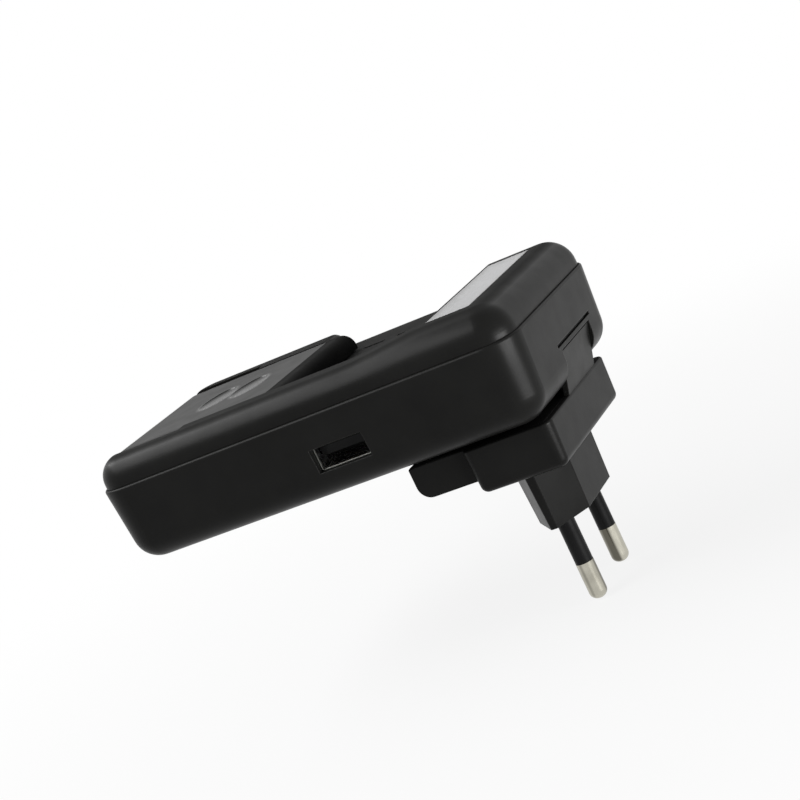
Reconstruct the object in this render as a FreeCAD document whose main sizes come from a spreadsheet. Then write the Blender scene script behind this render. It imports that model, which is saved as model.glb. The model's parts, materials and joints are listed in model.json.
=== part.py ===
import FreeCAD, Part
import math
import os
import Sketcher

# A plug-in charger for flat phone and camera batteries. Two moulded shells hold the
# board; a sprung clamp slides along the top and two contacts slide across the hood.
# A two-pin plug adapter is pushed over the charger's own flat blades.
# Frame: origin on the plug face midway between the pins, +Z away from the wall socket,
# +X towards the display end, -Y towards the side with the USB socket. Millimetres.

SIZES = {
    # shells
    "body_length": 103.4,
    "body_width": 59.4,
    "end_offset": 14.5,
    "corner_radius": 7.4,
    "lower_height": 18.3,
    "upper_height": 6.05,
    "lower_edge_radius": 5.8,
    "parting_edge_radius": 0.55,
    "upper_edge_radius": 5.0,
    "wall": 2.0,
    "wall_draft": 4.0,
    "inner_edge_radius": 3.6,
    "rim_step": 0.7,
    # battery bay and hood
    "rim_width": 9.9,
    "rim_end_radius": 2.0,
    "far_rim_drop": 0.5,
    "far_rim_radius": 4.0,
    "frame_rise": 1.3,
    "frame_edge_radius": 1.1,
    "bay_depth": 4.9,
    "bay_opening": 35.7,
    "mark_inset": 2.0,
    "mark_long": 5.6,
    "mark_gap": 3.3,
    "mark_short": 2.0,
    "mark_offset": 16.8,
    "mark_width": 1.8,
    "mark_depth": 0.5,
    "hood_length": 19.4,
    "hood_wall": 1.6,
    "hood_roof": 1.7,
    "hood_side_wall": 3.8,
    "hood_corner_radius": 5.6,
    # display
    "window_bezel": 0.7,
    "window_width": 10.0,
    "window_length": 41.6,
    "window_thickness": 1.1,
    "window_ledge": 0.9,
    "seat_clearance": 0.1,
    "panel_thickness": 0.9,
    "strip_width": 1.8,
    "strip_length": 36.0,
    # clamp
    "clamp_travel": 25.0,
    "clamp_gap": 0.3,
    "channel_gap": 0.5,
    "clamp_drop": 0.5,
    "clamp_skin": 1.8,
    "clamp_side": 2.2,
    "clamp_edge_radius": 4.6,
    "clamp_corner_radius": 2.6,
    "tail_length": 22.6,
    "tail_step": 2.8,
    "jaw_depth": 5.9,
    "jaw_radius": 3.2,
    "jaw_lip": 1.6,
    "grip_length": 8.0,
    "grip_width": 14.0,
    "grip_depth": 0.8,
    "grip_spacing": 8.6,
    "boss_length": 6.0,
    "boss_width": 4.2,
    "retainer_length": 10.0,
    "retainer_width": 9.0,
    "retainer_thickness": 1.5,
    "retainer_lip": 2.4,
    "clamp_screw_radius": 1.0,
    "clamp_screw_head": 1.9,
    "clamp_screw_length": 5.0,
    "spring_radius": 1.6,
    "spring_wire_radius": 0.35,
    "spring_pitch": 3.4,
    "anchor_length": 2.0,
    # battery contacts
    "contact_spread": 20.0,
    "contact_travel": 4.5,
    "contact_width": 2.6,
    "contact_thickness": 0.6,
    "finger_round_share": 0.9,
    "contact_reach": 3.0,
    "contact_height": 1.0,
    "slider_length": 4.5,
    "slider_width": 6.4,
    "slider_height": 3.0,
    "shelf_thickness": 1.0,
    "rail_width": 2.2,
    "rail_length": 17.0,
    "rail_thickness": 0.4,
    # circuit board and its parts
    "board_thickness": 1.6,
    "board_length": 72.0,
    "board_width": 40.0,
    "board_end_gap": 6.7,
    "board_post_radius": 2.2,
    "board_post_inset": 4.0,
    "core_length": 16.0,
    "core_width": 14.4,
    "core_height": 4.8,
    "core_leg": 2.4,
    "core_middle_leg": 4.0,
    "coil_height": 8.6,
    "coil_gap": 0.2,
    "input_can_radius": 4.0,
    "input_can_length": 14.0,
    "output_can_radius": 3.15,
    "output_can_height": 8.0,
    "chip_length": 10.0,
    "chip_width": 6.0,
    "chip_height": 1.7,
    "fuse_radius": 1.5,
    "fuse_length": 9.0,
    # USB socket
    "usb_offset": 44.6,
    "usb_height": 8.65,
    "usb_inner_width": 12.5,
    "usb_inner_height": 5.12,
    "usb_sheet": 0.35,
    "usb_depth": 14.0,
    "usb_setback": 2.3,
    "usb_cutout_gap": 0.1,
    "usb_base_depth": 4.5,
    "usb_tongue_width": 11.1,
    "usb_tongue_thickness": 1.84,
    "usb_tongue_length": 8.4,
    "usb_tongue_rise": 0.9,
    "usb_contact_width": 1.0,
    "usb_contact_thickness": 0.25,
    "usb_contact_length": 7.0,
    "usb_contact_pitch": 2.3,
    # case screws
    "screw_inset_left": 12.0,
    "screw_inset_right": 24.5,
    "screw_span_y": 38.0,
    "screw_radius": 1.25,
    "screw_head_radius": 2.4,
    "screw_head_height": 1.8,
    "screw_length": 10.0,
    "post_radius": 3.2,
    "cover_boss_height": 4.0,
    "screw_gap": 0.1,
    # folding blades
    "blade_spacing": 12.7,
    "blade_width": 6.3,
    "blade_thickness": 1.5,
    "blade_reach": 15.9,
    "blade_embed": 1.6,
    "tang_width": 2.0,
    "carrier_radius": 3.6,
    "carrier_length": 17.0,
    "carrier_gap": 0.2,
    "axle_radius": 1.4,
    "axle_length": 1.5,
    "axle_gap": 0.1,
    "well_reach": 17.5,
    "well_wall": 2.0,
    "terminal_width": 3.0,
    "terminal_thickness": 0.6,
    # plug adapter
    "nose_height": 12.9,
    "nose_half_width": 6.4,
    "nose_flat": 17.4,
    "nose_length": 33.6,
    "nose_tip": 2.0,
    "nose_end_share": 1.4,
    "nose_draft": 2.3,
    "nose_wall": 1.7,
    "nose_floor": 4.0,
    "nose_edge_radius": 0.5,
    "adapter_height": 10.0,
    "adapter_front": 11.2,
    "adapter_length": 20.8,
    "adapter_width": 43.3,
    "adapter_corner_radius": 2.2,
    "adapter_edge_radius": 1.6,
    "adapter_top_radius": 0.5,
    "adapter_draft": 2.5,
    "adapter_wall": 3.0,
    "heel_length": 13.4,
    "heel_width": 38.0,
    "heel_rise": 2.6,
    "heel_radius": 3.0,
    "lid_rim": 1.6,
    "lid_thickness": 1.8,
    "seat_height": 1.65,
    "seat_inset": 3.2,
    "latch_width": 20.2,
    "latch_centre": 4.9,
    "latch_height": 9.0,
    "latch_thickness": 1.6,
    "latch_recess": 0.3,
    "latch_gap": 0.35,
    "latch_ledge": 0.4,
    "groove_rise": 1.2,
    "groove_overhang": 2.1,
    "groove_height": 0.7,
    "groove_depth": 0.8,
    # plug pins
    "pin_spacing": 19.0,
    "pin_radius": 2.0,
    "pin_dome_share": 0.85,
    "pin_length": 19.0,
    "pin_core_radius": 1.5,
    "pin_head_radius": 2.6,
    "pin_head_height": 1.4,
    "sleeve_radius": 1.95,
    "sleeve_length": 10.5,
    "sleeve_gap": 0.03,
    "clip_thickness": 0.5,
    "clip_width": 4.4,
    "clip_rise": 7.4,
    "clip_foot": 3.6,
}

doc = FreeCAD.newDocument("battery_charger")
sheet = doc.addObject("Spreadsheet::Sheet", "sizes")
for row, (alias, number) in enumerate(SIZES.items(), 1):
    sheet.set(f"A{row}", alias)
    sheet.set(f"B{row}", str(number))
    sheet.setAlias(f"B{row}", alias)
doc.recompute()

# Places that several pieces share, as expressions of the sheet
BODY_RIGHT = "sizes.end_offset"
BODY_LEFT = "(sizes.end_offset - sizes.body_length)"
BODY_SIDE = "(sizes.body_width / 2)"
BODY_BOTTOM = "(sizes.nose_height + sizes.adapter_height + sizes.seat_height)"
PARTING = f"({BODY_BOTTOM} + sizes.lower_height)"
COVER_TOP = f"({PARTING} + sizes.upper_height)"
COVER_LEFT = f"({BODY_LEFT} + sizes.rim_step)"
COVER_RIGHT = f"({BODY_RIGHT} - sizes.rim_step)"
COVER_SIDE = f"({BODY_SIDE} - sizes.rim_step)"
BAY_FLOOR = f"({COVER_TOP} - sizes.bay_depth)"
CHANNEL_SIDE = f"({BODY_SIDE} - sizes.rim_width)"
TAIL_SIDE = f"({CHANNEL_SIDE} + sizes.tail_step)"
HOOD_FACE = f"({BODY_RIGHT} - sizes.hood_length)"
HOOD_INNER = f"({HOOD_FACE} + sizes.hood_wall)"
HOOD_CEILING = f"({COVER_TOP} - sizes.hood_roof)"
FRAME_TOP = f"({COVER_TOP} + sizes.frame_rise)"
FRAME_RIGHT = f"({COVER_RIGHT} - sizes.upper_edge_radius)"
FRAME_SIDE = "(sizes.window_length / 2 + sizes.window_bezel)"
PANEL_TOP = f"({FRAME_TOP} - sizes.hood_roof)"
JAW_FACE = f"({HOOD_FACE} - sizes.bay_opening)"
JAW_BACK = f"({JAW_FACE} - sizes.jaw_depth)"
SHOULDER = f"({BODY_LEFT} + sizes.tail_length)"
CLAMP_TOP = f"({COVER_TOP} - sizes.clamp_drop)"
CLAMP_BOTTOM = f"({BAY_FLOOR} + sizes.clamp_gap)"
SKIRT_BOTTOM = f"({PARTING} + sizes.clamp_gap)"
SKIRT_BACK = f"({COVER_LEFT} + sizes.clamp_side)"
BOSS_RIGHT = f"({JAW_BACK} - sizes.clamp_side)"
BOSS_LEFT = f"({BOSS_RIGHT} - sizes.boss_length)"
BOSS_BOTTOM = f"({PARTING} - sizes.clamp_gap)"
RETAINER_BOTTOM = f"({BOSS_BOTTOM} - sizes.retainer_thickness)"
RETAINER_MIDDLE = f"({BOSS_RIGHT} - sizes.boss_length / 2)"
RETAINER_RIGHT = f"({RETAINER_MIDDLE} + sizes.retainer_length / 2)"
SPRING_HEIGHT = f"({RETAINER_BOTTOM} - sizes.spring_radius + sizes.spring_wire_radius)"
ANCHOR_LEFT = f"({HOOD_FACE} - 3 * sizes.anchor_length)"
WINDOW_LEFT = f"({HOOD_FACE} + sizes.window_bezel)"
WINDOW_RIGHT = f"({WINDOW_LEFT} + sizes.window_width)"
PANEL_BOTTOM = f"({PANEL_TOP} - sizes.panel_thickness)"
USB_X = "(sizes.end_offset - sizes.usb_offset)"
USB_Z = f"({BODY_BOTTOM} + sizes.usb_height)"
USB_HALF_WIDTH = "(sizes.usb_inner_width / 2 + sizes.usb_sheet)"
USB_HALF_HEIGHT = "(sizes.usb_inner_height / 2 + sizes.usb_sheet)"
USB_FRONT = (f"(-{BODY_SIDE} + (sizes.lower_height - sizes.usb_height) * tan(sizes.wall_draft)"
             " + sizes.usb_setback)")
BOARD_BOTTOM = f"({USB_Z} + {USB_HALF_HEIGHT})"
BOARD_TOP = f"({BOARD_BOTTOM} + sizes.board_thickness)"
BOARD_RIGHT = f"({BODY_RIGHT} - sizes.board_end_gap)"
BOARD_LEFT = f"({BOARD_RIGHT} - sizes.board_length)"
RAIL_TOP = f"({BOARD_TOP} + sizes.rail_thickness)"
CONTACT_BOTTOM = f"({BAY_FLOOR} + sizes.contact_height)"
CONTACT_TOP = f"({CONTACT_BOTTOM} + sizes.contact_thickness)"
SLIDER_LEFT = f"({HOOD_INNER} + sizes.clamp_gap)"
SLIDER_RIGHT = f"({SLIDER_LEFT} + sizes.slider_length)"
SLIDER_BOTTOM = f"({CONTACT_BOTTOM} - sizes.slider_height)"
SHELF_TOP = f"({SLIDER_BOTTOM} - sizes.clamp_gap)"
SCREW_LEFT = f"({BODY_LEFT} + sizes.screw_inset_left)"
SCREW_RIGHT = f"({BODY_RIGHT} - sizes.screw_inset_right)"
BOSS_FACE = f"({PARTING} - sizes.cover_boss_height)"
SCREW_TOP = f"({PARTING} + sizes.screw_gap)"
SCREW_SEAT = f"({SCREW_TOP} - sizes.screw_length)"
PIVOT_Z = f"({BODY_BOTTOM} + sizes.carrier_radius + sizes.carrier_gap)"
WELL_TOP = f"({PIVOT_Z} + sizes.carrier_radius + 2 * sizes.carrier_gap)"
WELL_SIDE = "(sizes.carrier_length / 2 + sizes.carrier_gap)"
WELL_RIGHT = "(sizes.carrier_radius + 4 * sizes.carrier_gap)"
WELL_LEFT = "(-sizes.well_reach)"
TANG_TOP = f"({PIVOT_Z} + sizes.carrier_radius + sizes.carrier_gap)"
BLADE_TIP = f"({BODY_BOTTOM} - sizes.blade_reach)"
ADAPTER_TOP = "(sizes.nose_height + sizes.adapter_height)"
ADAPTER_BACK = "(sizes.adapter_front - sizes.adapter_length)"
HEEL_BACK = f"({ADAPTER_BACK} - sizes.heel_length)"
HEEL_BOTTOM = "(sizes.nose_height + sizes.heel_rise)"
LID_BOTTOM = f"({ADAPTER_TOP} - sizes.lid_thickness)"
LATCH_TOP = f"({ADAPTER_TOP} + sizes.latch_height)"
LATCH_NEAR = "(sizes.latch_centre - sizes.latch_width / 2)"
LATCH_FAR = "(sizes.latch_centre + sizes.latch_width / 2)"
LATCH_FACE = (f"({BODY_RIGHT} - ({PARTING} - {LATCH_TOP}) * tan(sizes.wall_draft)"
              " - sizes.latch_recess)")
LATCH_BACK = f"({LATCH_FACE} - sizes.latch_thickness)"
LATCH_FOOT = f"({ADAPTER_TOP} - sizes.lid_rim / 4)"
FOOT_BACK = "(sizes.adapter_front - sizes.lid_rim)"
NOTCH_FLOOR = f"({LATCH_BACK} - sizes.latch_gap)"
NOTCH_FOOT = f"({FOOT_BACK} - sizes.latch_gap)"
HEAD_TOP = "(sizes.nose_floor + sizes.pin_head_height)"

# Slack for picking edges by their bounding boxes
SLACK = 0.1


def value(expression):
    """Number that an expression of the sheet gives now."""
    return float(sheet.evalExpression(expression))


def new_body(label):
    body = doc.addObject("PartDesign::Body", label)
    body.Label = label
    return body


def new_sketch(body, name, role="XY_Plane", offset="0"):
    """Empty sketch on one of the body's own planes, moved along the plane's normal."""
    sketch = body.newObject("Sketcher::SketchObject", name)
    plane = next(f for f in body.Origin.OriginFeatures if f.Role == role)
    sketch.AttachmentSupport = (plane, [""])
    sketch.MapMode = "FlatFace"
    sketch.setExpression("AttachmentOffset.Base.z", offset)
    return sketch


def pin_point(sketch, line, x, y):
    """Hold a line's start point at x, y."""
    for kind, axis, place in (("DistanceX", -2, x), ("DistanceY", -1, y)):
        if abs(value(place)) < 1e-9:
            sketch.addConstraint(Sketcher.Constraint("PointOnObject", line, 1, axis))
            continue
        index = sketch.addConstraint(Sketcher.Constraint(kind, -1, 1, line, 1, value(place)))
        sketch.setExpression(f"Constraints[{index}]", place)


def draw_outline(sketch, points):
    """Closed outline of straight edges through points given as expressions."""
    first = sketch.GeometryCount
    corners = [FreeCAD.Vector(value(x), value(y), 0) for x, y in points]
    count = len(points)
    for index in range(count):
        sketch.addGeometry(Part.LineSegment(corners[index], corners[(index + 1) % count]), False)
    for index in range(count):
        following = first + (index + 1) % count
        sketch.addConstraint(Sketcher.Constraint("Coincident", first + index, 2, following, 1))
    for index, (x, y) in enumerate(points):
        pin_point(sketch, first + index, x, y)


def draw_box(sketch, left, right, low, high):
    draw_outline(sketch, [(left, low), (right, low), (right, high), (left, high)])


def draw_rounded_box(sketch, left, right, low, high, radius):
    """Rectangle with equal round corners."""
    x0, x1, y0, y1, r = (value(e) for e in (left, right, low, high, radius))
    point = FreeCAD.Vector
    first = sketch.GeometryCount
    sides = [
        (point(x0 + r, y0, 0), point(x1 - r, y0, 0)),
        (point(x1, y0 + r, 0), point(x1, y1 - r, 0)),
        (point(x1 - r, y1, 0), point(x0 + r, y1, 0)),
        (point(x0, y1 - r, 0), point(x0, y0 + r, 0)),
    ]
    centres = [(x1 - r, y0 + r), (x1 - r, y1 - r), (x0 + r, y1 - r), (x0 + r, y0 + r)]
    for start, end in sides:
        sketch.addGeometry(Part.LineSegment(start, end), False)
    for index, (x, y) in enumerate(centres):
        circle = Part.Circle(point(x, y, 0), point(0, 0, 1), r)
        begin = math.radians(90 * index - 90)
        sketch.addGeometry(Part.ArcOfCircle(circle, begin, begin + math.pi / 2), False)
    for index in range(4):
        arc = first + 4 + index
        level = "Horizontal" if index % 2 == 0 else "Vertical"
        sketch.addConstraint(Sketcher.Constraint(level, first + index))
        sketch.addConstraint(Sketcher.Constraint("Tangent", first + index, 2, arc, 1))
        sketch.addConstraint(Sketcher.Constraint("Tangent", arc, 2, first + (index + 1) % 4, 1))
        if index:
            sketch.addConstraint(Sketcher.Constraint("Equal", first + 4, arc))
    places = (("DistanceX", 3, left), ("DistanceX", 1, right), ("DistanceY", 0, low), ("DistanceY", 2, high))
    for kind, side, place in places:
        index = sketch.addConstraint(Sketcher.Constraint(kind, -1, 1, first + side, 1, value(place)))
        sketch.setExpression(f"Constraints[{index}]", place)
    index = sketch.addConstraint(Sketcher.Constraint("Radius", first + 4, r))
    sketch.setExpression(f"Constraints[{index}]", radius)


def draw_circle(sketch, x, y, radius):
    centre = FreeCAD.Vector(value(x), value(y), 0)
    circle = sketch.addGeometry(Part.Circle(centre, FreeCAD.Vector(0, 0, 1), value(radius)), False)
    index = sketch.addConstraint(Sketcher.Constraint("Radius", circle, value(radius)))
    sketch.setExpression(f"Constraints[{index}]", radius)
    for kind, axis, place in (("DistanceX", -2, x), ("DistanceY", -1, y)):
        if abs(value(place)) < 1e-9:
            sketch.addConstraint(Sketcher.Constraint("PointOnObject", circle, 3, axis))
            continue
        index = sketch.addConstraint(Sketcher.Constraint(kind, -1, 1, circle, 3, value(place)))
        sketch.setExpression(f"Constraints[{index}]", place)


def pad(body, sketch, length, along=True, taper=None):
    """Grow the sketch by a length, along its normal or against it."""
    feature = body.newObject("PartDesign::Pad", sketch.Name + "_pad")
    feature.Profile = sketch
    feature.setExpression("Length", length)
    feature.Reversed = not along
    if taper:
        feature.setExpression("TaperAngle", taper)
    doc.recompute()
    return feature


def pocket(body, sketch, length, along=False, taper=None):
    """Cut the sketch by a length, against its normal or along it; it has to remove something."""
    before = body.Shape.Volume
    feature = body.newObject("PartDesign::Pocket", sketch.Name + "_pocket")
    feature.Profile = sketch
    feature.setExpression("Length", length)
    feature.Reversed = along
    if taper:
        feature.setExpression("TaperAngle", taper)
    doc.recompute()
    if body.Shape.Volume > before - 1e-6:
        raise RuntimeError(f"{feature.Name} cuts nothing")
    return feature


def round_edges(body, name, radius, chosen):
    """Fillet the edges of the body's last feature that the test picks."""
    tip = body.Tip
    names = [f"Edge{n}" for n, edge in enumerate(tip.Shape.Edges, 1) if chosen(edge.BoundBox)]
    if not names:
        raise RuntimeError(f"{name} finds no edge")
    feature = body.newObject("PartDesign::Fillet", name)
    feature.Base = (tip, names)
    feature.setExpression("Radius", radius)
    doc.recompute()
    return feature


def at_level(place, axis="Z", slack=1e-3):
    """Test for edges that lie in the plane where one coordinate has a value."""
    level = value(place)

    def test(box):
        low, high = getattr(box, axis + "Min"), getattr(box, axis + "Max")
        return abs(low - level) < slack and abs(high - level) < slack

    return test


def upright_at(x_places, y_places, slack=0.05):
    """Test for upright edges at given x and y."""
    xs = [value(place) for place in x_places]
    ys = [value(place) for place in y_places]

    def test(box):
        thin = box.XLength < slack and box.YLength < slack and box.ZLength > slack
        near_x = any(abs(box.XMin - x) < slack for x in xs)
        return thin and near_x and any(abs(box.YMin - y) < slack for y in ys)

    return test


def prism(label, left, right, near, far, low, high):
    """Plain rectangular piece between six planes."""
    body = new_body(label)
    sketch = new_sketch(body, label + "_plan", offset=low)
    draw_box(sketch, left, right, near, far)
    pad(body, sketch, f"{high} - ({low})")
    return body


def bottom_cover():
    body = new_body("bottom_cover")
    outline = new_sketch(body, "lower_outline", offset=PARTING)
    draw_rounded_box(outline, BODY_LEFT, BODY_RIGHT, f"-{BODY_SIDE}", BODY_SIDE, "sizes.corner_radius")
    pad(body, outline, "sizes.lower_height", along=False, taper="-sizes.wall_draft")
    round_edges(body, "lower_edge", "sizes.lower_edge_radius", at_level(BODY_BOTTOM))
    round_edges(body, "parting_edge", "sizes.parting_edge_radius", at_level(PARTING))
    hollow = new_sketch(body, "lower_hollow", offset=PARTING)
    draw_rounded_box(hollow, f"{BODY_LEFT} + sizes.wall", f"{BODY_RIGHT} - sizes.wall",
                     f"-{BODY_SIDE} + sizes.wall", f"{BODY_SIDE} - sizes.wall",
                     "sizes.corner_radius - sizes.wall")
    pocket(body, hollow, "sizes.lower_height - sizes.wall", taper="-sizes.wall_draft")
    round_edges(body, "inner_edge", "sizes.inner_edge_radius", at_level(f"{BODY_BOTTOM} + sizes.wall"))

    # Well that the charger's own blades fold into, and the backing of the latch notch
    well = new_sketch(body, "well_block", offset=f"{BODY_BOTTOM} + sizes.wall / 2")
    draw_box(well, f"{WELL_LEFT} - sizes.well_wall", f"{WELL_RIGHT} + sizes.well_wall",
             f"-{WELL_SIDE} - sizes.well_wall", f"{WELL_SIDE} + sizes.well_wall")
    pad(body, well, f"{WELL_TOP} + sizes.well_wall - {BODY_BOTTOM} - sizes.wall / 2")
    backing = new_sketch(body, "latch_backing", "XZ_Plane", f"-{LATCH_FAR} - sizes.wall")
    draw_outline(backing, [
        (f"{NOTCH_FOOT} - sizes.wall / 2", f"{BODY_BOTTOM} + sizes.wall / 2"),
        (f"{NOTCH_FOOT} + sizes.wall / 2", f"{BODY_BOTTOM} + sizes.wall / 2"),
        (f"{NOTCH_FLOOR} + sizes.wall / 2", LATCH_TOP),
        (f"{NOTCH_FLOOR} + sizes.wall / 2", f"{LATCH_TOP} + 2 * sizes.wall"),
        (f"{NOTCH_FLOOR} - sizes.wall", f"{LATCH_TOP} + 2 * sizes.wall"),
    ])
    pad(body, backing, "sizes.latch_width + 2 * sizes.wall")
    room = new_sketch(body, "well_room", offset=BODY_BOTTOM)
    draw_box(room, WELL_LEFT, WELL_RIGHT, f"-{WELL_SIDE}", WELL_SIDE)
    pocket(body, room, f"{WELL_TOP} - {BODY_BOTTOM}", along=True)
    holes = new_sketch(body, "axle_holes", "XZ_Plane",
                       f"-{WELL_SIDE} - sizes.axle_length - sizes.axle_gap")
    draw_circle(holes, "0", PIVOT_Z, "sizes.axle_radius + sizes.axle_gap")
    pocket(body, holes, f"2 * ({WELL_SIDE} + sizes.axle_length + sizes.axle_gap)", along=True)
    slots = new_sketch(body, "terminal_slots", offset=WELL_TOP)
    for side in ("-", ""):
        middle = f"{side}sizes.blade_spacing / 2"
        draw_box(slots, "-sizes.terminal_width / 2 - sizes.clamp_gap",
                 "sizes.terminal_width / 2 + sizes.clamp_gap",
                 f"{middle} - sizes.terminal_thickness / 2 - sizes.clamp_gap",
                 f"{middle} + sizes.terminal_thickness / 2 + sizes.clamp_gap")
    pocket(body, slots, "sizes.well_wall", along=True)

    # Screw posts, board posts and the deep holes for the screw heads
    posts = new_sketch(body, "screw_posts", offset=f"{BODY_BOTTOM} + sizes.wall / 2")
    for x, y in screw_places():
        draw_circle(posts, x, y, "sizes.post_radius")
    pad(body, posts, f"{BOSS_FACE} - {BODY_BOTTOM} - sizes.wall / 2")
    rests = new_sketch(body, "board_posts", offset=f"{BODY_BOTTOM} + sizes.wall / 2")
    for x in (f"{BOARD_LEFT} + sizes.board_post_inset", f"{BOARD_RIGHT} - sizes.board_post_inset"):
        for side in ("-", ""):
            draw_circle(rests, x, f"{side}(sizes.board_width / 2 - sizes.board_post_inset)",
                        "sizes.board_post_radius")
    pad(body, rests, f"{BOARD_BOTTOM} - {BODY_BOTTOM} - sizes.wall / 2")
    heads = new_sketch(body, "screw_head_holes", offset=BODY_BOTTOM)
    for x, y in screw_places():
        draw_circle(heads, x, y, "sizes.screw_head_radius + 3 * sizes.screw_gap")
    pocket(body, heads, f"{SCREW_SEAT} - {BODY_BOTTOM}", along=True)
    shanks = new_sketch(body, "screw_shank_holes", offset=SCREW_SEAT)
    for x, y in screw_places():
        draw_circle(shanks, x, y, "sizes.screw_radius + sizes.screw_gap")
    pocket(body, shanks, f"{BOSS_FACE} - {SCREW_SEAT}", along=True)

    # USB cut-out, latch notch and the groove above it
    usb = new_sketch(body, "usb_cutout", "XZ_Plane", BODY_SIDE)
    draw_box(usb, f"{USB_X} - sizes.usb_inner_width / 2 - sizes.usb_cutout_gap",
             f"{USB_X} + sizes.usb_inner_width / 2 + sizes.usb_cutout_gap",
             f"{USB_Z} - sizes.usb_inner_height / 2 - sizes.usb_cutout_gap",
             f"{USB_Z} + sizes.usb_inner_height / 2 + sizes.usb_cutout_gap")
    pocket(body, usb, "3 * sizes.wall")
    notch = new_sketch(body, "latch_notch", "XZ_Plane", f"-{LATCH_FAR} - sizes.latch_gap")
    notch_top = f"({LATCH_TOP} + sizes.latch_gap)"
    draw_outline(notch, [
        (NOTCH_FOOT, LATCH_FOOT), (BODY_RIGHT, LATCH_FOOT), (BODY_RIGHT, notch_top), (NOTCH_FLOOR, notch_top),
    ])
    pocket(body, notch, "sizes.latch_width + 2 * sizes.latch_gap", along=True)
    groove = new_sketch(body, "latch_groove", "YZ_Plane", BODY_RIGHT)
    groove_low = f"({LATCH_TOP} + sizes.groove_rise)"
    draw_box(groove, f"{LATCH_NEAR} - sizes.groove_overhang", f"{LATCH_FAR} + sizes.groove_overhang",
             groove_low, f"{groove_low} + sizes.groove_height")
    pocket(body, groove, f"({PARTING} - {groove_low}) * tan(sizes.wall_draft) + sizes.groove_depth")
    return body


def screw_places():
    """Centres of the four case screws in plan."""
    return [(x, f"{side}sizes.screw_span_y / 2") for x in (SCREW_LEFT, SCREW_RIGHT) for side in ("-", "")]


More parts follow.
